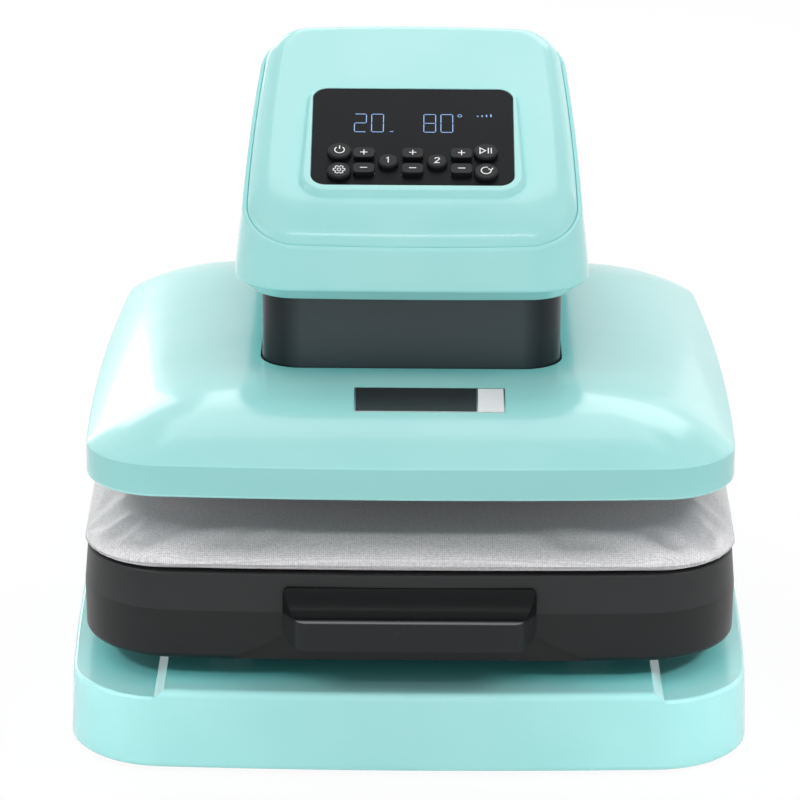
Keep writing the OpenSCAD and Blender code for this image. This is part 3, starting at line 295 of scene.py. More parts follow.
class Paint:
    """A Principled material with procedural colour, roughness and grain."""

    def __init__(self, name, roughness, metallic=0.0, **sockets):
        self.material = bpy.data.materials.new(name)
        self.material.use_nodes = True
        self.tree = self.material.node_tree
        self.shader = self.tree.nodes["Principled BSDF"]
        self.shader.inputs["Roughness"].default_value = roughness
        self.shader.inputs["Metallic"].default_value = metallic
        for key, value in sockets.items():
            self.shader.inputs[key.replace("_", " ")].default_value = value
        self.where = self.node("ShaderNodeTexCoord").outputs["Object"]

    def node(self, kind, **values):
        made = self.tree.nodes.new(kind)
        for key, value in values.items():
            made.inputs[key.replace("_", " ")].default_value = value
        return made

    def link(self, start, end):
        self.tree.links.new(start, end)

    def noise(self, scale, detail=2.0, stretch=None):
        made = self.node("ShaderNodeTexNoise", Scale=scale, Detail=detail)
        where = self.where
        if stretch:
            map_node = self.node("ShaderNodeMapping", Scale=stretch)
            self.link(where, map_node.inputs["Vector"])
            where = map_node.outputs["Vector"]
        self.link(where, made.inputs["Vector"])
        return made.outputs["Fac"]

    def colour(self, fac, dark, light, low=0.35, high=0.65):
        ramp = self.node("ShaderNodeValToRGB")
        ramp.color_ramp.elements[0].position, ramp.color_ramp.elements[0].color = low, dark
        ramp.color_ramp.elements[1].position, ramp.color_ramp.elements[1].color = high, light
        self.link(fac, ramp.inputs["Fac"])
        self.link(ramp.outputs["Color"], self.shader.inputs["Base Color"])
        return self

    def over(self, fac, colour):
        """Lays another colour over the base colour by a factor."""
        blend = self.tree.nodes.new("ShaderNodeMix")
        blend.data_type = "RGBA"
        base = self.shader.inputs["Base Color"]
        self.link(base.links[0].from_socket, blend.inputs[6])
        blend.inputs[7].default_value = colour
        self.link(fac, blend.inputs[0])
        self.link(blend.outputs[2], base)
        return self

    def rough(self, fac, low, high):
        span = self.node("ShaderNodeMapRange", To_Min=low, To_Max=high)
        self.link(fac, span.inputs["Value"])
        self.link(span.outputs["Result"], self.shader.inputs["Roughness"])
        return self

    def uneven(self, roughness):
        """Roughness that wanders a little round its mean."""
        return self.rough(self.noise(60), roughness * 0.9, roughness * 1.12)

    def math(self, operation, *values):
        """A Math node over sockets and plain numbers."""
        made = self.tree.nodes.new("ShaderNodeMath")
        made.operation = operation
        for k, value in enumerate(values):
            if isinstance(value, (int, float)):
                made.inputs[k].default_value = value
            else:
                self.link(value, made.inputs[k])
        return made.outputs["Value"]

    def parts(self, vector):
        split = self.node("ShaderNodeSeparateXYZ")
        self.link(vector, split.inputs["Vector"])
        return split.outputs

    def axes(self):
        return self.parts(self.where)

    def normal(self):
        return self.parts(self.node("ShaderNodeNewGeometry").outputs["Normal"])

    def cover(self, reach):
        """How much of the open air within reach, in millimetres, other surfaces take."""
        clear = self.node("ShaderNodeAmbientOcclusion", Distance=reach * MM)
        clear.samples = 8
        return self.math("SUBTRACT", 1.0, clear.outputs["AO"])

    def share(self, value, low, high):
        """How far a socket's value is from low to high, kept between 0 and 1."""
        span = self.node("ShaderNodeMapRange", From_Min=low, From_Max=high)
        self.link(value, span.inputs["Value"])
        return span.outputs["Result"]

    def grain(self, fac, strength, distance):
        bump = self.node("ShaderNodeBump", Strength=strength, Distance=distance * MM)
        self.link(fac, bump.inputs["Height"])
        self.link(bump.outputs["Normal"], self.shader.inputs["Normal"])
        return self


def plastic(name, dark, light, roughness, grain_scale, grain_depth, **sockets):
    paint = Paint(name, roughness, **sockets)
    paint.colour(paint.noise(14), dark, light)
    paint.uneven(roughness)
    paint.grain(paint.noise(grain_scale, 3.0), 0.5, grain_depth)
    return paint.material


def shell_plastic(name, dark, light, painted_nook_shade, roughness, wall=None, **sockets):
    """Glossy plastic with painted shade: its upward faces take a deeper teal where other pieces stand close
    over them.

    A wall tone, where one is given, is painted shade that darkens the upright faces.
    """
    paint = Paint(name, roughness, **sockets)
    paint.colour(paint.noise(14), dark, light)
    rise = paint.normal()["Z"]
    # Painted shade: the upright faces take the darker wall tone.
    if wall:
        paint.over(paint.share(paint.math("ABSOLUTE", rise), 0.45, 0.15), wall)
    # Painted shade: upward faces turn a deeper teal where other pieces stand within 25 mm over them.
    paint.over(paint.math("MULTIPLY", paint.cover(25), paint.share(rise, 0.5, 0.9)), painted_nook_shade)
    paint.uneven(roughness)
    paint.grain(paint.noise(900, 3.0), 0.5, 0.01)
    return paint.material


def corner_shaded(name, face, corner, roughness, **sockets):
    """Satin paint on a square sleeve, with painted shade that darkens it round its corners."""
    paint = Paint(name, roughness, **sockets)
    facing = paint.normal()
    # Painted shade: the colour goes toward the darker corner tone where the faces turn round the corners.
    turn = paint.math("ABSOLUTE", paint.math("MULTIPLY", facing["X"], facing["Y"]))
    speckle = paint.math("MULTIPLY", paint.noise(14), 0.12)
    paint.colour(paint.math("ADD", paint.share(turn, 0.0, 0.5), speckle), face, corner, 0.05, 0.9)
    paint.uneven(roughness)
    paint.grain(paint.noise(1100, 3.0, (1, 1, 14)), 0.4, 0.02)
    return paint.material


def metal(name, dark, light, roughness, stretch=(1, 1, 1)):
    paint = Paint(name, roughness, metallic=1.0)
    lines = paint.noise(700, 3.0, stretch)
    paint.colour(lines, dark, light)
    paint.rough(paint.noise(220, 2.0, stretch), roughness * 0.8, roughness * 1.25)
    paint.grain(lines, 0.25, 0.02)
    return paint.material


def bands_with_painted_light(name, lower, upper, split, roughness, **sockets):
    """Satin plastic with painted light: its wall is painted darker under a height in millimetres and lighter
    above it, for the light the upper band catches from above.
    """
    paint = Paint(name, roughness, **sockets)
    # Painted light: the lower band is darker and the upper band lighter, for the light the upper band catches
    # from above.
    height = paint.share(paint.axes()["Z"], (split - 0.25) * MM, (split + 0.25) * MM)
    paint.colour(paint.math("MULTIPLY_ADD", paint.noise(16), 0.08, height), lower, upper, 0.02, 1.0)
    # Painted shade: near black where other surfaces close in within 30 mm, as in the scoop under the pull.
    paint.over(paint.share(paint.cover(30), 0.08, 0.6), srgb(8, 9, 10))
    paint.uneven(roughness)
    paint.grain(paint.noise(1500, 3.0), 0.5, 0.04)
    return paint.material


def pull_plastic(name, face, shaded_slope, edge, roughness, **sockets):
    """Satin plastic of the pull: an upright face, a slope with painted shade, and a painted highlight along
    the edge between them.
    """
    paint = Paint(name, roughness, **sockets)
    at = paint.axes()
    # Painted shade: above the edge the slope is painted darker than the upright face.
    rise = paint.share(at["Z"], (PULL_EDGE - 1) * MM, (PULL_EDGE + 1) * MM)
    paint.colour(paint.math("MULTIPLY_ADD", paint.noise(16), 0.08, rise), face, shaded_slope, 0.02, 1.0)
    # Painted highlight: a thin light line along the front of the edge between face and slope.
    off = paint.math("ABSOLUTE", paint.math("SUBTRACT", at["Z"], PULL_EDGE * MM))
    highlight_band = paint.math("SUBTRACT", 1.0, paint.share(off, 0.2 * MM, 0.9 * MM))
    ahead = paint.share(at["Y"], (handle_low[1] + 4) * MM, (handle_low[1] + 1.5) * MM)
    paint.over(paint.math("MULTIPLY", highlight_band, ahead), edge)
    paint.uneven(roughness)
    paint.grain(paint.noise(1500, 3.0), 0.5, 0.03)
    return paint.material


def cloth(name, dark, light):
    """Fine twill with a silver coat: crossing threads, small uneven marks, and creases at the corners."""
    paint = Paint(name, 0.52, Sheen_Weight=0.25, Sheen_Roughness=0.45, Specular_IOR_Level=0.6)
    threads = []
    for direction in ("X", "Y"):
        wave = paint.node("ShaderNodeTexWave", Scale=250.0, Distortion=0.6, Detail=1.0)
        wave.bands_direction = direction
        paint.link(paint.where, wave.inputs["Vector"])
        threads.append(wave.outputs["Fac"])
    marks = paint.math("MULTIPLY_ADD", paint.math("MULTIPLY", *threads), 0.45, paint.noise(620, 4.0))
    paint.colour(marks, dark, light, 0.3, 0.95)
    x, y = (paint.math("ABSOLUTE", paint.math("SUBTRACT", paint.axes()[k], middle))
            for k, middle in (("X", 0.0), ("Y", PRESS_Y * MM)))
    reach = PAD_W / 2 + PAD_D / 2
    corner = paint.share(paint.math("ADD", x, y), (reach - 62) * MM, (reach - 30) * MM)
    creases = paint.math("MULTIPLY", paint.noise(55, 3.0, (3.2, 3.2, 0.9)), corner)
    paint.grain(paint.math("MULTIPLY_ADD", creases, 9.0, marks), 0.6, 0.12)
    return paint.material


def glow(name, colour, strength):
    paint = Paint(name, 0.3)
    paint.colour(paint.noise(300), colour, colour)
    paint.shader.inputs["Emission Color"].default_value = colour
    paint.shader.inputs["Emission Strength"].default_value = strength
    return paint.material


# The third mint colour is the painted shade that upward faces take under nearby pieces; the last value is the
# roughness.
MINT = (srgb(156, 219, 217), srgb(161, 222, 220), srgb(92, 236, 236), 0.2)
COAT = {"Coat_Weight": 0.25, "Coat_Roughness": 0.06}
mint = shell_plastic("mint_shell", *MINT, **COAT)
# The dome cover's upright rim gets a painted shade, darker than its top.
dome_paint = shell_plastic("mint_dome", *MINT, wall=srgb(141, 204, 202), **COAT)
# The tray's upper band is painted lighter than its lower band, as painted light from above.
tray_paint = bands_with_painted_light("tray_plastic", srgb(20, 21, 22), srgb(34, 35, 36), CREASE_Z, 0.4, Specular_IOR_Level=0.3)
# The pull's slope has painted shade and its edge a painted highlight.
handle_paint = pull_plastic("handle_plastic", srgb(42, 43, 45), srgb(20, 21, 22), srgb(120, 120, 121), 0.26,
                            Specular_IOR_Level=0.1)
black = plastic("black_plastic", srgb(30, 30, 32), srgb(36, 36, 38), 0.5, 1400, 0.04)
sleeve_paint = corner_shaded("sleeve_paint", srgb(58, 66, 69), srgb(20, 30, 33), 0.34, Specular_IOR_Level=0.25)
panel_paint = plastic("panel_gloss", srgb(13, 15, 18), srgb(17, 19, 22), 0.4, 1600, 0.02,
                      Specular_IOR_Level=0.07)
key_paint = plastic("key_plastic", srgb(22, 23, 25), srgb(27, 28, 30), 0.36, 1500, 0.02,
                    Specular_IOR_Level=0.15)
board_paint = plastic("board", srgb(18, 84, 52), srgb(26, 104, 66), 0.4, 800, 0.05)
gear_paint = plastic("gear_plastic", srgb(232, 226, 208), srgb(240, 235, 220), 0.45, 900, 0.02)
motor_paint = plastic("motor_paint", srgb(40, 41, 44), srgb(48, 49, 52), 0.38, 1200, 0.02)
display_paint = plastic("display", srgb(26, 30, 40), srgb(32, 36, 48), 0.2, 700, 0.01)
felt_paint = plastic("felt", srgb(214, 208, 192), srgb(236, 230, 216), 0.95, 380, 0.5)
rubber_paint = plastic("foot_rubber", srgb(28, 28, 28), srgb(36, 36, 36), 0.75, 900, 0.06)
steel_paint = metal("steel", srgb(160, 162, 166), srgb(190, 192, 196), 0.32)
element_paint = metal("element_steel", srgb(108, 98, 92), srgb(150, 138, 128), 0.45)
aluminium_paint = metal("aluminium", srgb(196, 198, 200), srgb(218, 220, 222), 0.35, (1, 12, 1))
bronze_paint = metal("bronze", srgb(168, 120, 62), srgb(204, 156, 88), 0.35)
pad_paint = cloth("pad_cloth", srgb(182, 181, 183), srgb(230, 229, 231))
seam_paint = cloth("pad_seam", srgb(150, 150, 153), srgb(186, 186, 189))
white_paint = plastic("key_print", srgb(226, 228, 230), srgb(240, 241, 242), 0.5, 900, 0.01)
plate_dark = plastic("plate_dark", srgb(30, 31, 33), srgb(38, 39, 41), 0.35, 1000, 0.01)
plate_silver = metal("plate_silver", srgb(190, 194, 196), srgb(214, 218, 220), 0.3, (12, 1, 1))
digit_paint = glow("display_light", srgb(120, 158, 206), 0.42)

# Paints of the CAD nodes that show as they are, by slot
SLOT_PAINT = {
    "mint_shell": mint, "black_plastic": black, "panel_gloss": panel_paint, "key_plastic": key_paint,
    "steel": steel_paint, "element_steel": element_paint, "aluminium": aluminium_paint,
    "bronze": bronze_paint, "gear_plastic": gear_paint, "motor_paint": motor_paint, "board": board_paint,
    "display": display_paint, "felt": felt_paint, "foot_rubber": rubber_paint,
}


# Base and drawer

def base():
    size = (BASE_W, BASE_D, BASE_CORNER, SHELL_BOW)
    low, top = base_low[2], base_high[2]
    recess = (BASE_W - (bottom_high - bottom_low)[0]) / 2 - SEAT
    edge = BASE_DRAFT + BASE_EDGE
    rows = [(recess, bottom_high[2] + 0.05), (recess, low)]
    rows += roll((BASE_TOE, low), (0, low + BASE_TOE + 1), rising=False)
    rows += roll((BASE_DRAFT, LEDGE_Z - BASE_EDGE), (edge, LEDGE_Z), 8)
    rows.append((edge + 2, LEDGE_Z))
    shell = loft("base", [level(size, 0, i, z) for i, z in rows])
    rows = [(BASE_DRAFT + 0.02, LEDGE_Z - 2 * BASE_EDGE)]
    rows += roll((BASE_DRAFT + 0.02, LEDGE_Z), (BASE_DRAFT + PLATFORM_RISE, top))
    rows.append((BASE_DRAFT + PLATFORM_RISE + 2, top))
    deck = loft("deck", [level(size, 0, i, z) for i, z in rows])
    rings = []
    for z in (LEDGE_Z - PLATFORM_RISE, top + OVER):
        x = PLATFORM_HALF + PLATFORM_SLOPE * (0.5 - (z - LEDGE_Z) / PLATFORM_RISE)
        rings.append([(-x, -BASE_D, z), (x, -BASE_D, z), (x, BASE_D, z), (-x, BASE_D, z)])
    join(deck, loft("deck_sides", rings), "INTERSECT")
    join(shell, deck, "UNION")
    settle(bevel(shell, 1.0, 3, 30))
    place(smooth(shell, 50), "frame", mint, ["base_shell"])


def scoop():
    """The finger scoop's room: its sides swing out toward the lower edge of the tray."""
    front = tray_low[1]
    rings = []
    for t in np.linspace(-0.1, 1, 15):
        swing = max(0.0, t)
        half = SCOOP_TOP + SCOOP_FLARE * (1 - swing * swing * (3 - 2 * swing))
        z = tray_low[2] + SCOOP_H * t
        rings.append([(-half, front - REACH, z), (half, front - REACH, z),
                      (half, front + SCOOP_DEPTH, z), (-half, front + SCOOP_DEPTH, z)])
    return loft("scoop", rings)


def tray():
    size = (TRAY_W, TRAY_D, TRAY_CORNER, SHELL_BOW)
    low, top = tray_low[2], tray_high[2]
    rows = [(TRAY_FOOT + 2, low)] + roll((TRAY_FOOT, low), (0.4, low + TRAY_FOOT), rising=False)
    rows += [(0.02, CREASE_Z - 0.5), (0, CREASE_Z - 0.2), (0.05, CREASE_Z + 0.2), (0.09, CREASE_Z + 0.5)]
    rows += roll((TRAY_LEAN, top - 2), (TRAY_LEAN + 2, top))
    rows += [(TRAY_RIM, top), (TRAY_RIM, lower_low[2] - 0.05)]
    shell = loft("tray", [level(size, PRESS_Y, i, z) for i, z in rows])
    join(shell, scoop(), "DIFFERENCE")
    settle(bevel(shell, 1.2, 3, 40))
    place(smooth(shell, 50), "drawer", tray_paint, ["drawer_tray"])


def bezier(a, b, c, steps):
    a, b, c = (np.array(p, float) for p in (a, b, c))
    return [tuple((1 - t) ** 2 * a + 2 * t * (1 - t) * b + t * t * c) for t in np.linspace(0, 1, steps + 1)]


def handle():
    """A pull with an upright face, a hollow slope up to the tray and sides that flare to the tray."""
    half, corner, wall = (handle_high - handle_low)[0] / 2, PULL_CORNER, PULL_WALL
    front, back = handle_low[1], handle_high[1]
    out = tray_low[1] - front
    low, top = handle_low[2], handle_high[2]
    edge_z = low + PULL_FACE + PULL_ROUND
    section = [(back, low), (front, low)]
    section += bezier((front, edge_z - 2.2), (front, edge_z), (front + 1.8, edge_z + 0.4), 4)
    section += bezier(section[-1], (front + out * 0.55, edge_z + 0.6), (back - 7.2, top - 3), 14)[1:]
    section += [(back - 5.6, top - 0.6), (back, top)]
    grip = loft("pull_handle", [[(x, y, z) for y, z in section] for x in (-half, half)])
    narrow = np.array([half - PULL_FLARE, front])
    reach = np.array([half, tray_low[1]]) - narrow
    side = [(half, back + OVER), (half, tray_low[1])]
    side += bezier(narrow + reach * corner / np.linalg.norm(reach), narrow, narrow - (corner, 0), 8)
    outline = side + [(-x, y) for x, y in side[::-1]]
    rings = [[(x, y, z) for x, y in outline] for z in (low - OVER, top + OVER)]
    join(grip, loft("handle_plan", rings), "INTERSECT")
    brow = bezier((half - 2 * corner, low - 0.01), (half, low - 0.01), (half, low + 2 * corner), 8)
    brow += bezier((half, top - corner), (half, top), (half - corner, top + 0.01), 8)
    rounding = brow + [(-x, z) for x, z in brow[::-1]]
    rings = [[(x, y, z) for x, z in rounding] for y in (front - OVER, back + OVER)]
    join(grip, loft("handle_brow", rings), "INTERSECT")
    settle(bevel(grip, 1.6, 4, 30))
    inside = front + wall + 1
    room = [(back - 1, low - OVER), (inside, low - OVER), (inside, edge_z - wall - 2),
            (back - 9, edge_z - wall), (back - 1, edge_z)]
    ends = (-half + PULL_FLARE + wall, half - PULL_FLARE - wall)
    join(grip, loft("hollow", [[(x, y, z) for y, z in room] for x in ends]), "DIFFERENCE")
    place(smooth(grip, 40), "drawer", handle_paint, ["drawer_handle"])


# Pad: the cover is inflated as cloth, then held inside the press gap

# The pad's side and top as (inset, share of its height), from the foot to the middle
PAD_SIDES = ((6, 0), (3, 0.05), (1.5, 0.15), (0.4, 0.26), (0, 0.36), (0.2, 0.47), (0.8, 0.56), (3.6, 0.74),
             (9, 0.87), (16, 0.92), (26, 0.945), (42, 0.965), (60, 0.98), (85, 0.992), (110, 1), (140, 1))

# The soft sides stand this far out over the tray's rim, and keep this share of the cloth's sideways move
PAD_BULGE = 2.2
PAD_SIDE_GIVE = 0.2
PAD_MOVE = 5.0
PAD_CLEAR = 0.1
PAD_FOOT_H = 3.0
CLOTH_CELL = 5.0
CLOTH_PRESSURE = 4.0
CLOTH_FRAMES = 20
HEM_H = 4.5
HEM_R = 0.7


def points_of(obj):
    return np.array([v.co for v in obj.data.vertices])


def hold(obj, points):
    """Gives obj these points, kept between the pad's foot and just under its top."""
    points[:, 2] = np.clip(points[:, 2], pad_low[2] * MM, (pad_high[2] - PAD_CLEAR) * MM)
    obj.data.vertices.foreach_set("co", points.ravel())


def inflate(obj):
    """Blows the pad's cover up as cloth held at its foot, and keeps the move small."""
    remesh = obj.modifiers.new("remesh", "REMESH")
    remesh.mode, remesh.voxel_size = "VOXEL", CLOTH_CELL * MM
    settle(obj)
    start = points_of(obj)
    foot = obj.vertex_groups.new(name="foot")
    foot_top = (pad_low[2] + PAD_FOOT_H) * MM
    foot.add([i for i, p in enumerate(start) if p[2] < foot_top], 1.0, "REPLACE")
    cloth_step = obj.modifiers.new("cloth", "CLOTH")
    cloth_step.settings.vertex_group_mass = "foot"
    cloth_step.settings.use_pressure = True
    cloth_step.settings.uniform_pressure_force = CLOTH_PRESSURE
    cloth_step.settings.effector_weights.gravity = 0.0
    cloth_step.point_cache.frame_start, cloth_step.point_cache.frame_end = 1, CLOTH_FRAMES
    for number in range(1, CLOTH_FRAMES + 1):
        bpy.context.scene.frame_set(number)
    settle(obj)
    bpy.context.scene.frame_set(1)
    moved = points_of(obj) - start
    moved[:, :2] *= PAD_SIDE_GIVE
    length = np.linalg.norm(moved, axis=1, keepdims=True)
    hold(obj, start + moved * np.minimum(1.0, PAD_MOVE * MM / np.maximum(length, 1e-9)))


def pad():
    size = (PAD_W + 2 * PAD_BULGE, PAD_D, PAD_CORNER, SHELL_BOW * 0.6)
    height = pad_high[2] - pad_low[2]
    rings = [level(size, PRESS_Y, i, pad_low[2] + s * height, PAD_KEEP) for i, s in PAD_SIDES]
    cover = loft("padded_cover", rings)
    inflate(cover)
    finer = cover.modifiers.new("finer", "SUBSURF")
    finer.levels = finer.render_levels = 1
    settle(cover)
    hold(cover, points_of(cover))
    cover.data.shade_smooth()
    place(cover, "drawer", pad_paint, ["pad_cover", "foam_pad"])
    hem(cover, size)


def hem(cover, size):
    """A stitched hem round the lower edge, laid on the cover where it is after inflating."""
    tree = BVHTree.FromObject(cover, bpy.context.evaluated_depsgraph_get())
    z = pad_low[2] + HEM_H
    outer = level(size, PRESS_Y, -12, z, PAD_KEEP)
    inner = level(size, PRESS_Y, 20, z, PAD_KEEP)
    path = []
    for p, q in zip(outer, inner):
        hit = tree.ray_cast(Vector(p * MM), Vector(q - p).normalized())[0]
        path.append(np.array(hit) / MM if hit else (p + q) / 2)
    path = np.array(path)
    along = np.roll(path, -1, 0) - np.roll(path, 1, 0)
    along /= np.linalg.norm(along, axis=1, keepdims=True)
    out = np.stack([along[:, 1], -along[:, 0], np.zeros(len(path))], 1)
    up = np.array([0, 0, 1.0])
    turns = np.radians(np.arange(0, 360, 60))
    rings = [path + HEM_R * (math.cos(t) * out + math.sin(t) * up) for t in turns]
    rope = loft("pad_hem", rings, closed=True)
    rope.data.shade_smooth()
    place(rope, "drawer", seam_paint)


# Press: domed cover and sleeve

def dome_z(u):
    """Height of the dome at a share u of the way in from its foot."""
    return DOME_FOOT + (cover_high[2] - DOME_FOOT) * (1 - (1 - u) ** DOME_CURVE)


def cover_ring(inset, z, keep=1.0):
    """A ring of the domed cover, which narrows toward its back."""
    ring = level((COVER_W, COVER_D, COVER_CORNER, SHELL_BOW), PRESS_Y, inset, z, keep)
    ring[:, 0] *= 1 - 2 * COVER_TAPER / COVER_W * ((ring[:, 1] - PRESS_Y) / COVER_D + 0.5)
    return ring


def press_cover():
    low, top = cover_low[2], cover_high[2]
    toe = roll((2.5, low), (0, low + 3.5), rising=False)
    rings = [cover_ring(i, z) for i, z in [(WALL, low)] + toe]
    rise = (dome_z(0.01) - DOME_FOOT) / (0.01 * DOME_RUN)
    edge = bezier((0, DOME_FOOT - 1.6), (0, DOME_FOOT - COVER_EDGE * rise), (COVER_EDGE, DOME_FOOT), 5)
    rings += [cover_ring(i, z) for i, z in edge[:-1]]
    rings += [cover_ring(COVER_EDGE + DOME_RUN * u, dome_z(u), DOME_KEEP) for u in np.linspace(0.004, 1, 40)]
    hole = (SLEEVE_W + 2 * HOLE_ROOM, SLEEVE_W + 2 * HOLE_ROOM, SLEEVE_CORNER + HOLE_ROOM, 0)
    lip = ((-0.8, top), (-0.2, top - 0.3), (0, top - 0.9), (0, top - WALL))
    rings += [level(hole, PRESS_Y, i, z) for i, z in lip]
    rings += [cover_ring(COVER_EDGE + WALL * 0.4 + (DOME_RUN + 2) * u, dome_z(u) - WALL, DOME_KEEP)
              for u in np.linspace(1, 0, 16)]
    shell = loft("press_cover", rings, closed=True)
    place(smooth(shell, 60), "platen", dome_paint, ["platen_cover"])


def sleeve():
    size = (SLEEVE_W, SLEEVE_W, SLEEVE_CORNER, 0)
    low, top = sleeve_low[2], sleeve_high[2]
    rows = [(2, low), (0.3, low), (0, low + 0.3), (0, top - 0.3), (0.3, top), (2, top)]
    shell = loft("neck_sleeve", [level(size, PRESS_Y, i, z) for i, z in rows], closed=True)
    place(smooth(shell), "platen", sleeve_paint, ["press_sleeve"])


# Head: tub, lid, bezel, and the arm behind them

def seam(y):
    """Height of the slanted seam between the tub and the lid."""
    return SEAM_FRONT + math.tan(SLOPE) * (y - head_low[1])


def leaning(flat, y, height):
    """Points of the head in space: its sides lean in going up."""
    lean = np.maximum(0, height - UNDER_Z) * LEAN
    return np.column_stack([flat[:, 0] * (1 - lean / (HEAD_W / 2)), y, height])


def head_plan(off, inset, keep):
    d = 2 * (off + inset)
    r = off + keep * inset
    return plan(HEAD_W - d, HEAD_D - d, HEAD_CORNER - r, HEAD_BOW, HEAD_BACK_CORNER - r, 18, 26)


def head_ring(inset, z=None, lift=0.0):
    """A ring of the head, level at z or along its slanted seam with a lift."""
    flat = head_plan(inset, 0, 0)
    y = flat[:, 1] + HEAD_Y
    return leaning(flat, y, seam(y) + lift if z is None else np.full(len(flat), z))


def lid_ring(inset, lift):
    """A ring of the head's lid, whose rolled edge is wider at the front than at the back."""
    flat = head_plan(WALL + SEAT / 2, inset, 0.5)
    y = flat[:, 1] + HEAD_Y + LID_SHIFT * inset
    return leaning(flat, y, seam(y) + lift)


def sleeve_way(low, high):
    """The opening that the sleeve slides up through, between two heights."""
    size = (SLEEVE_W + 2 * WAY_ROOM, SLEEVE_W + 2 * WAY_ROOM, SLEEVE_CORNER + WAY_ROOM, 0)
    return loft("sleeve_way", [level(size, PRESS_Y, 0, low), level(size, PRESS_Y, 0, high)])


def head():
    lip = head_low[2]
    floor = UNDER_Z + WALL
    rings = [head_ring(LIP_IN + 2, lip), head_ring(LIP_IN + 0.6, lip), head_ring(LIP_IN, lip + 0.5)]
    rings += [head_ring(HEAD_TOE + 0.6, UNDER_Z - 0.2)]
    rings += [head_ring(i, z) for i, z in roll((HEAD_TOE, UNDER_Z), (0, UNDER_Z + HEAD_TOE), rising=False)]
    rings += [head_ring(0, lift=-2.0)] + [head_ring(i, lift=h) for i, h in roll((0, -1.2), (1.2, 0), 5)]
    rings += [head_ring(WALL - 0.3), head_ring(WALL, lift=-0.3), head_ring(WALL, floor)]
    shell = loft("head_tub", rings)
    join(shell, sleeve_way(lip - OVER, floor + OVER), "DIFFERENCE")
    window = block("window", (-WINDOW_HALF, head_high[1] - WINDOW_D, floor - 0.5),
                   (WINDOW_HALF, head_high[1] + OVER, floor + WINDOW_H))
    join(shell, window, "DIFFERENCE")
    place(smooth(shell, 45), "frame", mint, ["head_housing"])


def lid():
    rings = [lid_ring(0, -WALL)] + [lid_ring(i, h) for i, h in roll((0, 0), (LID_ROLL, CROWN), 22)]
    rings.append(lid_ring(LID_ROLL + 2, CROWN))
    shell = loft("head_lid", rings)
    place(smooth(shell, 60), "frame", mint, ["head_cover"])


def on_panel(points):
    """Panel places (across, up the slope, above the panel's foot) in the CAD frame."""
    u, v, h = np.asarray(points, float).T
    c, s = math.cos(SLOPE), math.sin(SLOPE)
    return np.column_stack([u, PANEL_Y + v * c - h * s, PANEL_Z + v * s + h * c])


def bezel():
    """Frame round the panel: flush at its top, with a flat and a side that grow toward its lower edge."""
    inner = plan(PANEL_W, PANEL_D, PANEL_CORNER, 0, None, 10, 14)
    out = plan(PANEL_W + 2, PANEL_D + 2, PANEL_CORNER + 1, 0, None, 10, 14) - inner
    up = np.clip(inner[:, 1] / PANEL_D + 0.5, 0, 1)
    land = BEZEL_LAND + LAND_GROWTH * (1 - up)
    skirt = BEZEL_SKIRT + SKIRT_GROWTH * (1 - up)
    top = BEZEL_H - (BEZEL_H - PANEL_T - BEZEL_PROUD) * up

    def ring(grow, h):
        return on_panel(np.column_stack([inner + out * np.reshape(grow, (-1, 1)), h]))

    def flat_ring(grow, h):
        return ring(np.full(len(inner), grow), h)

    foot = np.full(len(inner), -1.0)
    rings = [ring(land + skirt, foot)]
    for s in np.linspace(0, 1, 13):
        rings.append(ring(land + skirt * (1 - s), top * (0.5 - 0.5 * math.cos(math.pi * s))))
    rings += [flat_ring(grow, top - drop) for grow, drop in ((0.8, 0), (0.45, 0.15), (SEAT, 0.5))]
    rings.append(flat_ring(SEAT, foot))
    frame_piece = loft("panel_bezel", rings, closed=True)
    place(smooth(frame_piece, 50), "frame", mint)


def column():
    low = column_low[2]
    back, front = column_high[1], COLUMN_FRONT
    arm_low = head_low[2] + ARM_LIFT
    roof_top = SEAM_FRONT + math.tan(SLOPE) * HEAD_D - ROOF_DROP
    line = head_ring(-SEAT, UNDER_Z)
    line = line[(line[:, 1] > HEAD_Y) & (line[:, 0] >= -0.01)]
    line = line[np.argsort(line[:, 0])]
    half = COLUMN_W / 2
    rolled = np.cos(np.radians(np.linspace(0, 80, 14))) * ARM_ROLLED + ARM_FLAT
    shares = np.concatenate([rolled, np.linspace(ARM_FLAT, 0, 12)])
    rings = []
    for x in np.concatenate([shares, -shares[-2::-1]]) * half:
        past = max(0.0, (abs(x) / half - ARM_FLAT) / ARM_ROLLED)
        edge = ARM_ROLL * (1 - math.sqrt(max(0.0, 1 - past ** 2)))
        y0 = np.interp(abs(x), line[:, 0], line[:, 1])
        outline = [(back - edge, low), (front, low)]
        for a in np.radians(np.linspace(0, 90, 9)):
            outline.append((front - ARM_FILLET + ARM_FILLET * math.cos(a),
                            arm_low - ARM_FILLET + ARM_FILLET * math.sin(a)))
        outline += [(y0, arm_low), (y0, UNDER_Z)]
        pull = (back - ROOF_PULL[0] - edge * 0.7, roof_top - ROOF_PULL[1] - edge)
        outline += bezier((y0, roof_top - edge * 1.05), pull, (back - edge, UNDER_Z), 24)
        rings.append([(x * (1 - max(0, z - UNDER_Z) * LEAN / (HEAD_W / 2)), y, z) for y, z in outline])
    bend = 12
    end = len(rings[0]) - 1
    arm = loft("column_arm", rings, caps=[[end] + list(range(bend + 1)), list(range(bend, end + 1))])
    seat = rear_low[1]
    join(arm, block("rear_seat", (rear_low[0] - SEAT, seat, rear_low[2] - SEAT),
                    (rear_high[0] + SEAT, back + REACH, rear_high[2] + SEAT)), "DIFFERENCE")
    join(arm, block("rear_hollow", (rear_low[0] + REAR_LAND, front + REAR_LAND, rear_low[2] + REAR_LAND),
                    (rear_high[0] - REAR_LAND, seat + OVER, rear_high[2] - REAR_LAND)), "DIFFERENCE")
    join(arm, sleeve_way(arm_low - REACH, sleeve_high[2] + 2), "DIFFERENCE")
    settle(bevel(arm, 1.0, 2, 50))
    place(smooth(arm, 45), "frame", mint, ["column_housing"])


# Display, key signs and the bare plate

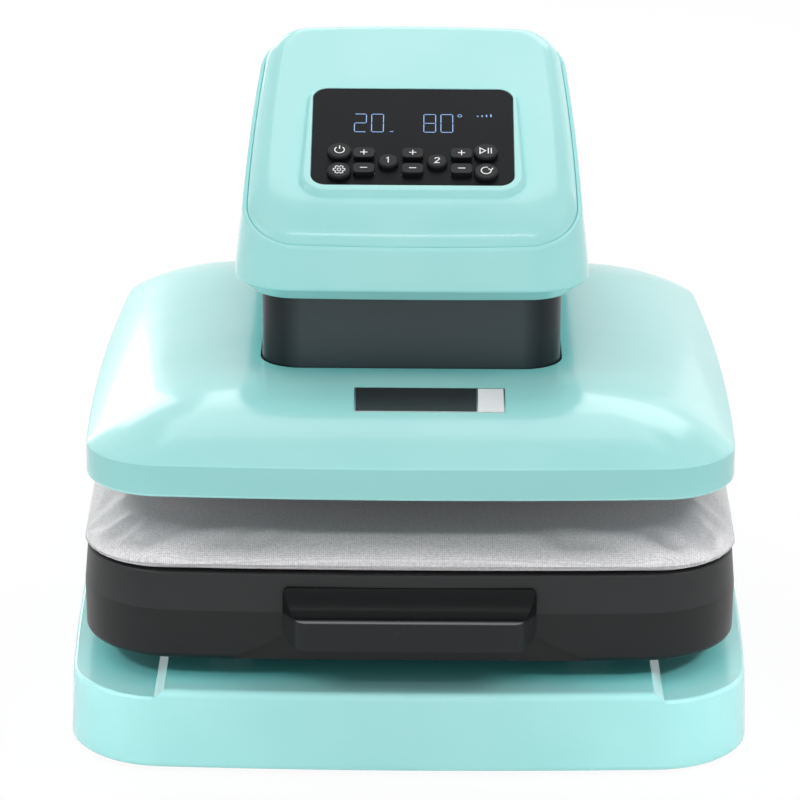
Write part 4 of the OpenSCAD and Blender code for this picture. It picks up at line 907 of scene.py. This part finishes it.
def ribbon(points, width, low, high, closed=False):
    """A flat strip along a line, as points and faces; its corners are mitred."""
    p = np.array(points, float)
    n = len(p)
    verts, faces = [], []
    for i in range(n):
        before = p[i] - p[i - 1] if closed or i > 0 else p[i + 1] - p[i]
        after = p[(i + 1) % n] - p[i] if closed or i < n - 1 else before
        before, after = before / np.linalg.norm(before), after / np.linalg.norm(after)
        along = (before + after) / np.linalg.norm(before + after)
        across = np.array([-along[1], along[0]])
        reach = width / 2 / max(0.4, across @ np.array([-before[1], before[0]]))
        right, left = p[i] - across * reach, p[i] + across * reach
        verts += [(*right, low), (*left, low), (*left, high), (*right, high)]
    for i in range(n if closed else n - 1):
        a, b = 4 * i, 4 * ((i + 1) % n)
        faces += [(a + k, a + (k + 1) % 4, b + (k + 1) % 4, b + k) for k in range(4)]
    if not closed:
        faces += [(0, 3, 2, 1), tuple(4 * n - 4 + k for k in range(4))]
    return verts, faces


def signs(name, parts):
    """One mesh from several strips drawn on the panel."""
    verts, faces = [], []
    for part_verts, part_faces in parts:
        faces += [tuple(len(verts) + i for i in f) for f in part_faces]
        verts += part_verts
    return mesh_object(name, on_panel(verts), faces)


def arc_line(centre, radius, start, end, steps=24):
    turn = np.radians(np.linspace(start, end, steps + 1))
    return [(centre[0] + radius * math.cos(t), centre[1] + radius * math.sin(t)) for t in turn]


# Strokes of each digit, named as on a seven-segment display
SEGMENTS = {"2": "abged", "0": "abcdef", "8": "abcdefg"}
DIGIT_W, DIGIT_H = 8.0, 18.4
DIGIT_STEP = 11.6
DIGIT_V = 5.0
DIGIT_LINE = 0.62


def digit(symbol, u):
    """The lit strokes of one digit whose left side is at u."""
    v, w, h = DIGIT_V, DIGIT_W, DIGIT_H
    gap = DIGIT_LINE * 0.75
    mid = v + h / 2
    lines = {
        "a": ((u + gap, v + h), (u + w - gap, v + h)), "d": ((u + gap, v), (u + w - gap, v)),
        "g": ((u + gap, mid), (u + w - gap, mid)), "f": ((u, mid + gap), (u, v + h - gap)),
        "b": ((u + w, mid + gap), (u + w, v + h - gap)), "e": ((u, v + gap), (u, mid - gap)),
        "c": ((u + w, v + gap), (u + w, mid - gap)),
    }
    return [ribbon(lines[s], DIGIT_LINE, PANEL_T, PANEL_T + PRINT_T) for s in SEGMENTS[symbol]]


def display():
    """Two plain numbers, a ring, a row of bars and a dash."""
    low, high = PANEL_T, PANEL_T + PRINT_T
    parts = []
    for symbols, u in (("20", -39.6), ("80", 7.4)):
        for k, symbol in enumerate(symbols):
            parts += digit(symbol, u + k * DIGIT_STEP)
    parts.append(ribbon(arc_line((31.8, 22.2), 1.3, 0, 345), 0.5, low, high, closed=True))
    for k in range(4):
        parts.append(ribbon([(44 + k * 3, 21.2), (44 + k * 3, 22.4 + k * 0.5)], 0.9, low, high))
    parts.append(ribbon([(-15.6, 5.4), (-13.2, 5.4)], 0.6, low, high))
    place(signs("display_digits", parts), "frame", digit_paint)


# Middles of the keys, across the panel and up its slope
KEY_U = {"power": -49.2, "settings": -49.2, "time": -32.8, "first_preset": -16.4, "heat": 0.0,
         "second_preset": 16.4, "force": 32.8, "start": 49.2, "repeat": 49.2}
KEY_V = {"upper": -17.5, "lower": -37.5, "plus": -19.7, "minus": -35.3, "middle": -27.5}


def stroke(u, v, points, closed=False, width=0.75):
    """A strip on a key whose middle is at (u, v)."""
    return ribbon([(u + x, v + y) for x, y in points], width, KEY_TOP, KEY_TOP + PRINT_T, closed)


def power_sign(u, v):
    return [stroke(u, v, arc_line((0, 0), 3.2, 128, 412)), stroke(u, v, [(0, 1.0), (0, 4.2)])]


def gear_sign(u, v):
    outer = []
    for k in range(6):
        for turn, r in ((-20, 2.9), (-13, 4.0), (13, 4.0), (20, 2.9)):
            t = math.radians(60 * k + turn)
            outer.append((r * math.cos(t), r * math.sin(t)))
    return [stroke(u, v, outer, True, 0.6), stroke(u, v, arc_line((0, 0), 1.3, 0, 345), True, 0.6)]


def start_sign(u, v):
    bars = [stroke(u, v, [(x, -2.8), (x, 2.8)]) for x in (1.6, 3.6)]
    return [stroke(u, v, [(-4.0, -2.8), (-4.0, 2.8), (-0.2, 0)], True)] + bars


def repeat_sign(u, v):
    return [stroke(u, v, arc_line((0, 0), 3.3, 70, 370)), stroke(u, v, [(1.4, 1.8), (3.4, 0.4), (4.6, 2.6)])]


def plus_sign(u, v):
    arm, half = 2.4, 0.375
    lines = (((-arm, 0), (arm, 0)), ((0, -arm), (0, -half)), ((0, half), (0, arm)))
    return [stroke(u, v, line) for line in lines]


def minus_sign(u, v):
    return [stroke(u, v, [(-2.4, 0), (2.4, 0)])]


def one_sign(u, v):
    return [stroke(u, v, [(-1.2, 1.6), (0, 2.6), (0, -2.6)])]


def two_sign(u, v):
    return [stroke(u, v, [(-1.6, 1.4), (-0.9, 2.5), (0.9, 2.5), (1.6, 1.2), (-1.6, -2.5), (1.7, -2.5)])]


def key_signs():
    drawn = {"power": (power_sign, "upper"), "settings": (gear_sign, "lower"), "start": (start_sign, "upper"),
             "repeat": (repeat_sign, "lower"), "first_preset": (one_sign, "middle"),
             "second_preset": (two_sign, "middle")}
    for name, (draw, row) in drawn.items():
        strips = draw(KEY_U[name], KEY_V[row])
        place(signs(f"{name}_sign", strips), f"{name}_button", white_paint)
    for name in ("time", "heat", "force"):
        for draw, row in ((plus_sign, "plus"), (minus_sign, "minus")):
            strips = draw(KEY_U[name], KEY_V[row])
            place(signs(f"{name}_{row}_sign", strips), f"{name}_{row}_button", white_paint)


def bare_plate():
    """Blank plate on the front of the dome: a silver border round a dark field and a lighter one."""
    def patch(name, x0, x1, y0, y1, lift, paint):
        xs, ys = np.linspace(x0, x1, 15), np.linspace(y0, y1, 9)
        tops, bottoms = [], []
        for y in ys:
            u = (y - cover_low[1] - COVER_EDGE) / DOME_RUN
            bend = SHELL_BOW * (xs / (COVER_W / 2 - SHELL_BOW)) ** 2
            zs = [dome_z(min(1.0, max(0.0, u - b / DOME_RUN))) for b in bend]
            tops.append([(x, y, z + lift) for x, z in zip(xs, zs)])
            bottoms.append([(x, y, z - 0.6) for x, z in zip(xs, zs)])
        rings = [low + high[::-1] for low, high in zip(bottoms, tops)]
        place(smooth(loft(name, rings)), "platen", paint)

    x0, x1, y0, y1, rim, split = -37.6, 62.2, -198.8, -166.5, 1.1, 43.2
    patch("plate_border", x0, x1, y0, y1, 0.25, plate_silver)
    patch("plate_field", x0 + rim, split, y0 + rim, y1 - rim, 0.4, plate_dark)
    patch("plate_light_field", split + rim, x1 - rim, y0 + rim, y1 - rim, 0.4, white_paint)


# Stage

FLOOR_HALF, FLOOR_T = 6000.0, 20.0
# Share of plain white in the floor as it is seen; the rest shows the shadow
FLOOR_WHITE = 0.93
SKY_LIGHT = 0.38


def stage():
    floor = block("floor", (-FLOOR_HALF, -FLOOR_HALF, -FLOOR_T), (FLOOR_HALF, FLOOR_HALF, 0))
    paint = bpy.data.materials.new("floor")
    paint.use_nodes = True
    tree = paint.node_tree
    tree.nodes.clear()
    lit = tree.nodes.new("ShaderNodeBsdfDiffuse")
    lit.inputs["Color"].default_value = (0.9, 0.9, 0.9, 1)
    white = tree.nodes.new("ShaderNodeEmission")
    white.inputs["Strength"].default_value = 1.0
    blend = tree.nodes.new("ShaderNodeMixShader")
    scale = tree.nodes.new("ShaderNodeMath")
    scale.operation = "MULTIPLY"
    scale.inputs[1].default_value = FLOOR_WHITE
    out = tree.nodes.new("ShaderNodeOutputMaterial")
    tree.links.new(seen_directly(tree), scale.inputs[0])
    tree.links.new(scale.outputs[0], blend.inputs["Fac"])
    tree.links.new(lit.outputs[0], blend.inputs[1])
    tree.links.new(white.outputs[0], blend.inputs[2])
    tree.links.new(blend.outputs[0], out.inputs["Surface"])
    floor.data.materials.append(paint)


def seen_directly(tree):
    """1 where a camera, glossy or transmission ray looks, so that the background is white there."""
    path = tree.nodes.new("ShaderNodeLightPath")
    level_out = path.outputs["Is Camera Ray"]
    for key in ("Is Glossy Ray", "Is Transmission Ray"):
        both = tree.nodes.new("ShaderNodeMath")
        both.operation = "MAXIMUM"
        tree.links.new(level_out, both.inputs[0])
        tree.links.new(path.outputs[key], both.inputs[1])
        level_out = both.outputs[0]
    return level_out


def world_light():
    world = bpy.data.worlds.new("studio")
    bpy.context.scene.world = world
    world.use_nodes = True
    tree = world.node_tree
    tree.nodes.clear()
    blend = tree.nodes.new("ShaderNodeMixShader")
    out = tree.nodes.new("ShaderNodeOutputWorld")
    tree.links.new(seen_directly(tree), blend.inputs["Fac"])
    for socket, strength in ((1, SKY_LIGHT), (2, 1.0)):
        sky = tree.nodes.new("ShaderNodeBackground")
        sky.inputs["Color"].default_value = (1, 1, 1, 1)
        sky.inputs["Strength"].default_value = strength
        tree.links.new(sky.outputs[0], blend.inputs[socket])
    tree.links.new(blend.outputs[0], out.inputs["Surface"])


def lamp(name, spot, aim, size, power, spread=180, mirrored=True):
    """An area lamp, in metres and watts. One that isn't mirrored lights without showing in the gloss."""
    data = bpy.data.lights.new(name, "AREA")
    data.shape, data.size, data.size_y, data.energy = "RECTANGLE", size[0], size[1], power
    data.spread = math.radians(spread)
    obj = bpy.data.objects.new(name, data)
    obj.location = spot
    obj.visible_camera = False
    obj.visible_glossy = mirrored
    obj.rotation_euler = (Vector(aim) - Vector(spot)).to_track_quat("-Z", "Y").to_euler()
    bpy.context.scene.collection.objects.link(obj)


def lights():
    middle = (0, 0, 0.2)
    lamp("left_back_box", (-0.94, 1.89, 1.03), middle, (0.5, 1.2), 6.5)
    lamp("left_back_fill", (-1.2, 1.75, 1.03), middle, (1.18, 1.2), 16.5, mirrored=False)
    lamp("right_back_box", (1.25, 1.75, 1.03), middle, (1.18, 1.2), 2.5)
    lamp("back_box", (0.3, 1.7, 1.9), middle, (1.6, 0.8), 10)
    lamp("back_fill", (0.3, 1.7, 1.9), middle, (1.6, 0.8), 6.5, mirrored=False)
    lamp("left_side_box", (-1.9, -0.4, 0.7), middle, (1.2, 0.7), 3)
    lamp("right_side_box", (1.9, -0.4, 0.7), middle, (1.2, 0.7), 2)
    lamp("left_high_box", (-1.3, -0.5, 1.7), middle, (0.8, 0.8), 7.5, mirrored=False)
    lamp("right_high_box", (1.3, -0.3, 1.7), middle, (0.8, 0.8), 9, mirrored=False)
    lamp("top_box", (0, 0.9, 2.2), middle, (1.4, 1.0), 6.5)
    lamp("front_box", (0, -3.0, 0.5), middle, (1.6, 0.6), 8.5, mirrored=False)
    lamp("front_strip", (0, -1.6, 2.1), middle, (1.6, 0.12), 5)
    lamp("low_card", (0, -1.0, 0.05), (0, -0.2, 0.15), (0.6, 0.2), 1.5, mirrored=False)
    for side, power in ((-1, 0.026), (1, 0.036)):
        lamp("corner_spot", (side * 0.75, -0.75, 0.75), (side * 0.2, -0.235, 0.06), (0.1, 0.1), power, 14)


# Place in metres, degrees looking down and rolled, and shift as a share of the picture's width
CAMERA_SPOT = (0, -2.6816, 1.0779)
CAMERA_DOWN, CAMERA_ROLL = 18.7, 0.4
CAMERA_SHIFT = -11 / 800


def camera():
    data = bpy.data.cameras.new("camera")
    data.sensor_width, data.lens = 36.0, 180.0
    data.shift_x = CAMERA_SHIFT
    data.clip_end = 50
    obj = bpy.data.objects.new("camera", data)
    obj.location = CAMERA_SPOT
    tilt = Matrix.Rotation(math.radians(90 - CAMERA_DOWN), 4, "X")
    obj.rotation_euler = (tilt @ Matrix.Rotation(math.radians(CAMERA_ROLL), 4, "Z")).to_euler()
    bpy.context.scene.collection.objects.link(obj)
    bpy.context.scene.camera = obj


# CAD nodes that show as they are, by slot; the keys have their own
SLOT_NODES = {
    "steel": ("bottom_plate", "base_screws", "left_rail", "right_rail", "left_frame", "right_frame",
              "column_web", "rear_screws", "press_beam", "thrust_bearing", "guide_rods", "platen_carrier",
              "standoffs", "left_runner", "right_runner", "lead_screw"),
    "black_plastic": ("mains_inlet", "switch_body", "key_switches", "thermostat", "power_rocker"),
    "aluminium": ("nut_housing", "heating_plate", "lower_platen"),
    "bronze": ("guide_bushes", "drive_nut"),
    "gear_plastic": ("screw_gear", "motor_pinion"),
    "board": ("power_board", "control_board"),
    "mint_shell": ("rear_cover",),
    "foot_rubber": ("rubber_feet",),
    "panel_gloss": ("control_panel",),
    "display": ("display_module",),
    "motor_paint": ("drive_motor",),
    "felt": ("insulation_felt",),
    "element_steel": ("heating_element",),
}
NODE_SLOT = {node: slot for slot, nodes in SLOT_NODES.items() for node in nodes}
KEY_EDGE, NODE_EDGE = 0.8, 0.35


def paint_nodes():
    for name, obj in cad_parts.items():
        is_key = name.endswith("_key")
        slot = "key_plastic" if is_key else NODE_SLOT.get(name)
        if slot is None:
            continue
        obj.data.materials.clear()
        obj.data.materials.append(SLOT_PAINT[slot])
        obj.data.shade_smooth()
        obj.data.set_sharp_from_angle(angle=math.radians(30))
        step = obj.modifiers.new("edge", "BEVEL")
        step.width, step.segments = (KEY_EDGE if is_key else NODE_EDGE) * MM, 3
        step.limit_method, step.angle_limit = "ANGLE", math.radians(40)
        step.harden_normals = False


base()
tray()
handle()
pad()
press_cover()
sleeve()
head()
lid()
bezel()
column()
display()
key_signs()
bare_plate()
paint_nodes()
stage()
world_light()
lights()
camera()
bpy.context.scene.view_settings.view_transform = "Standard"
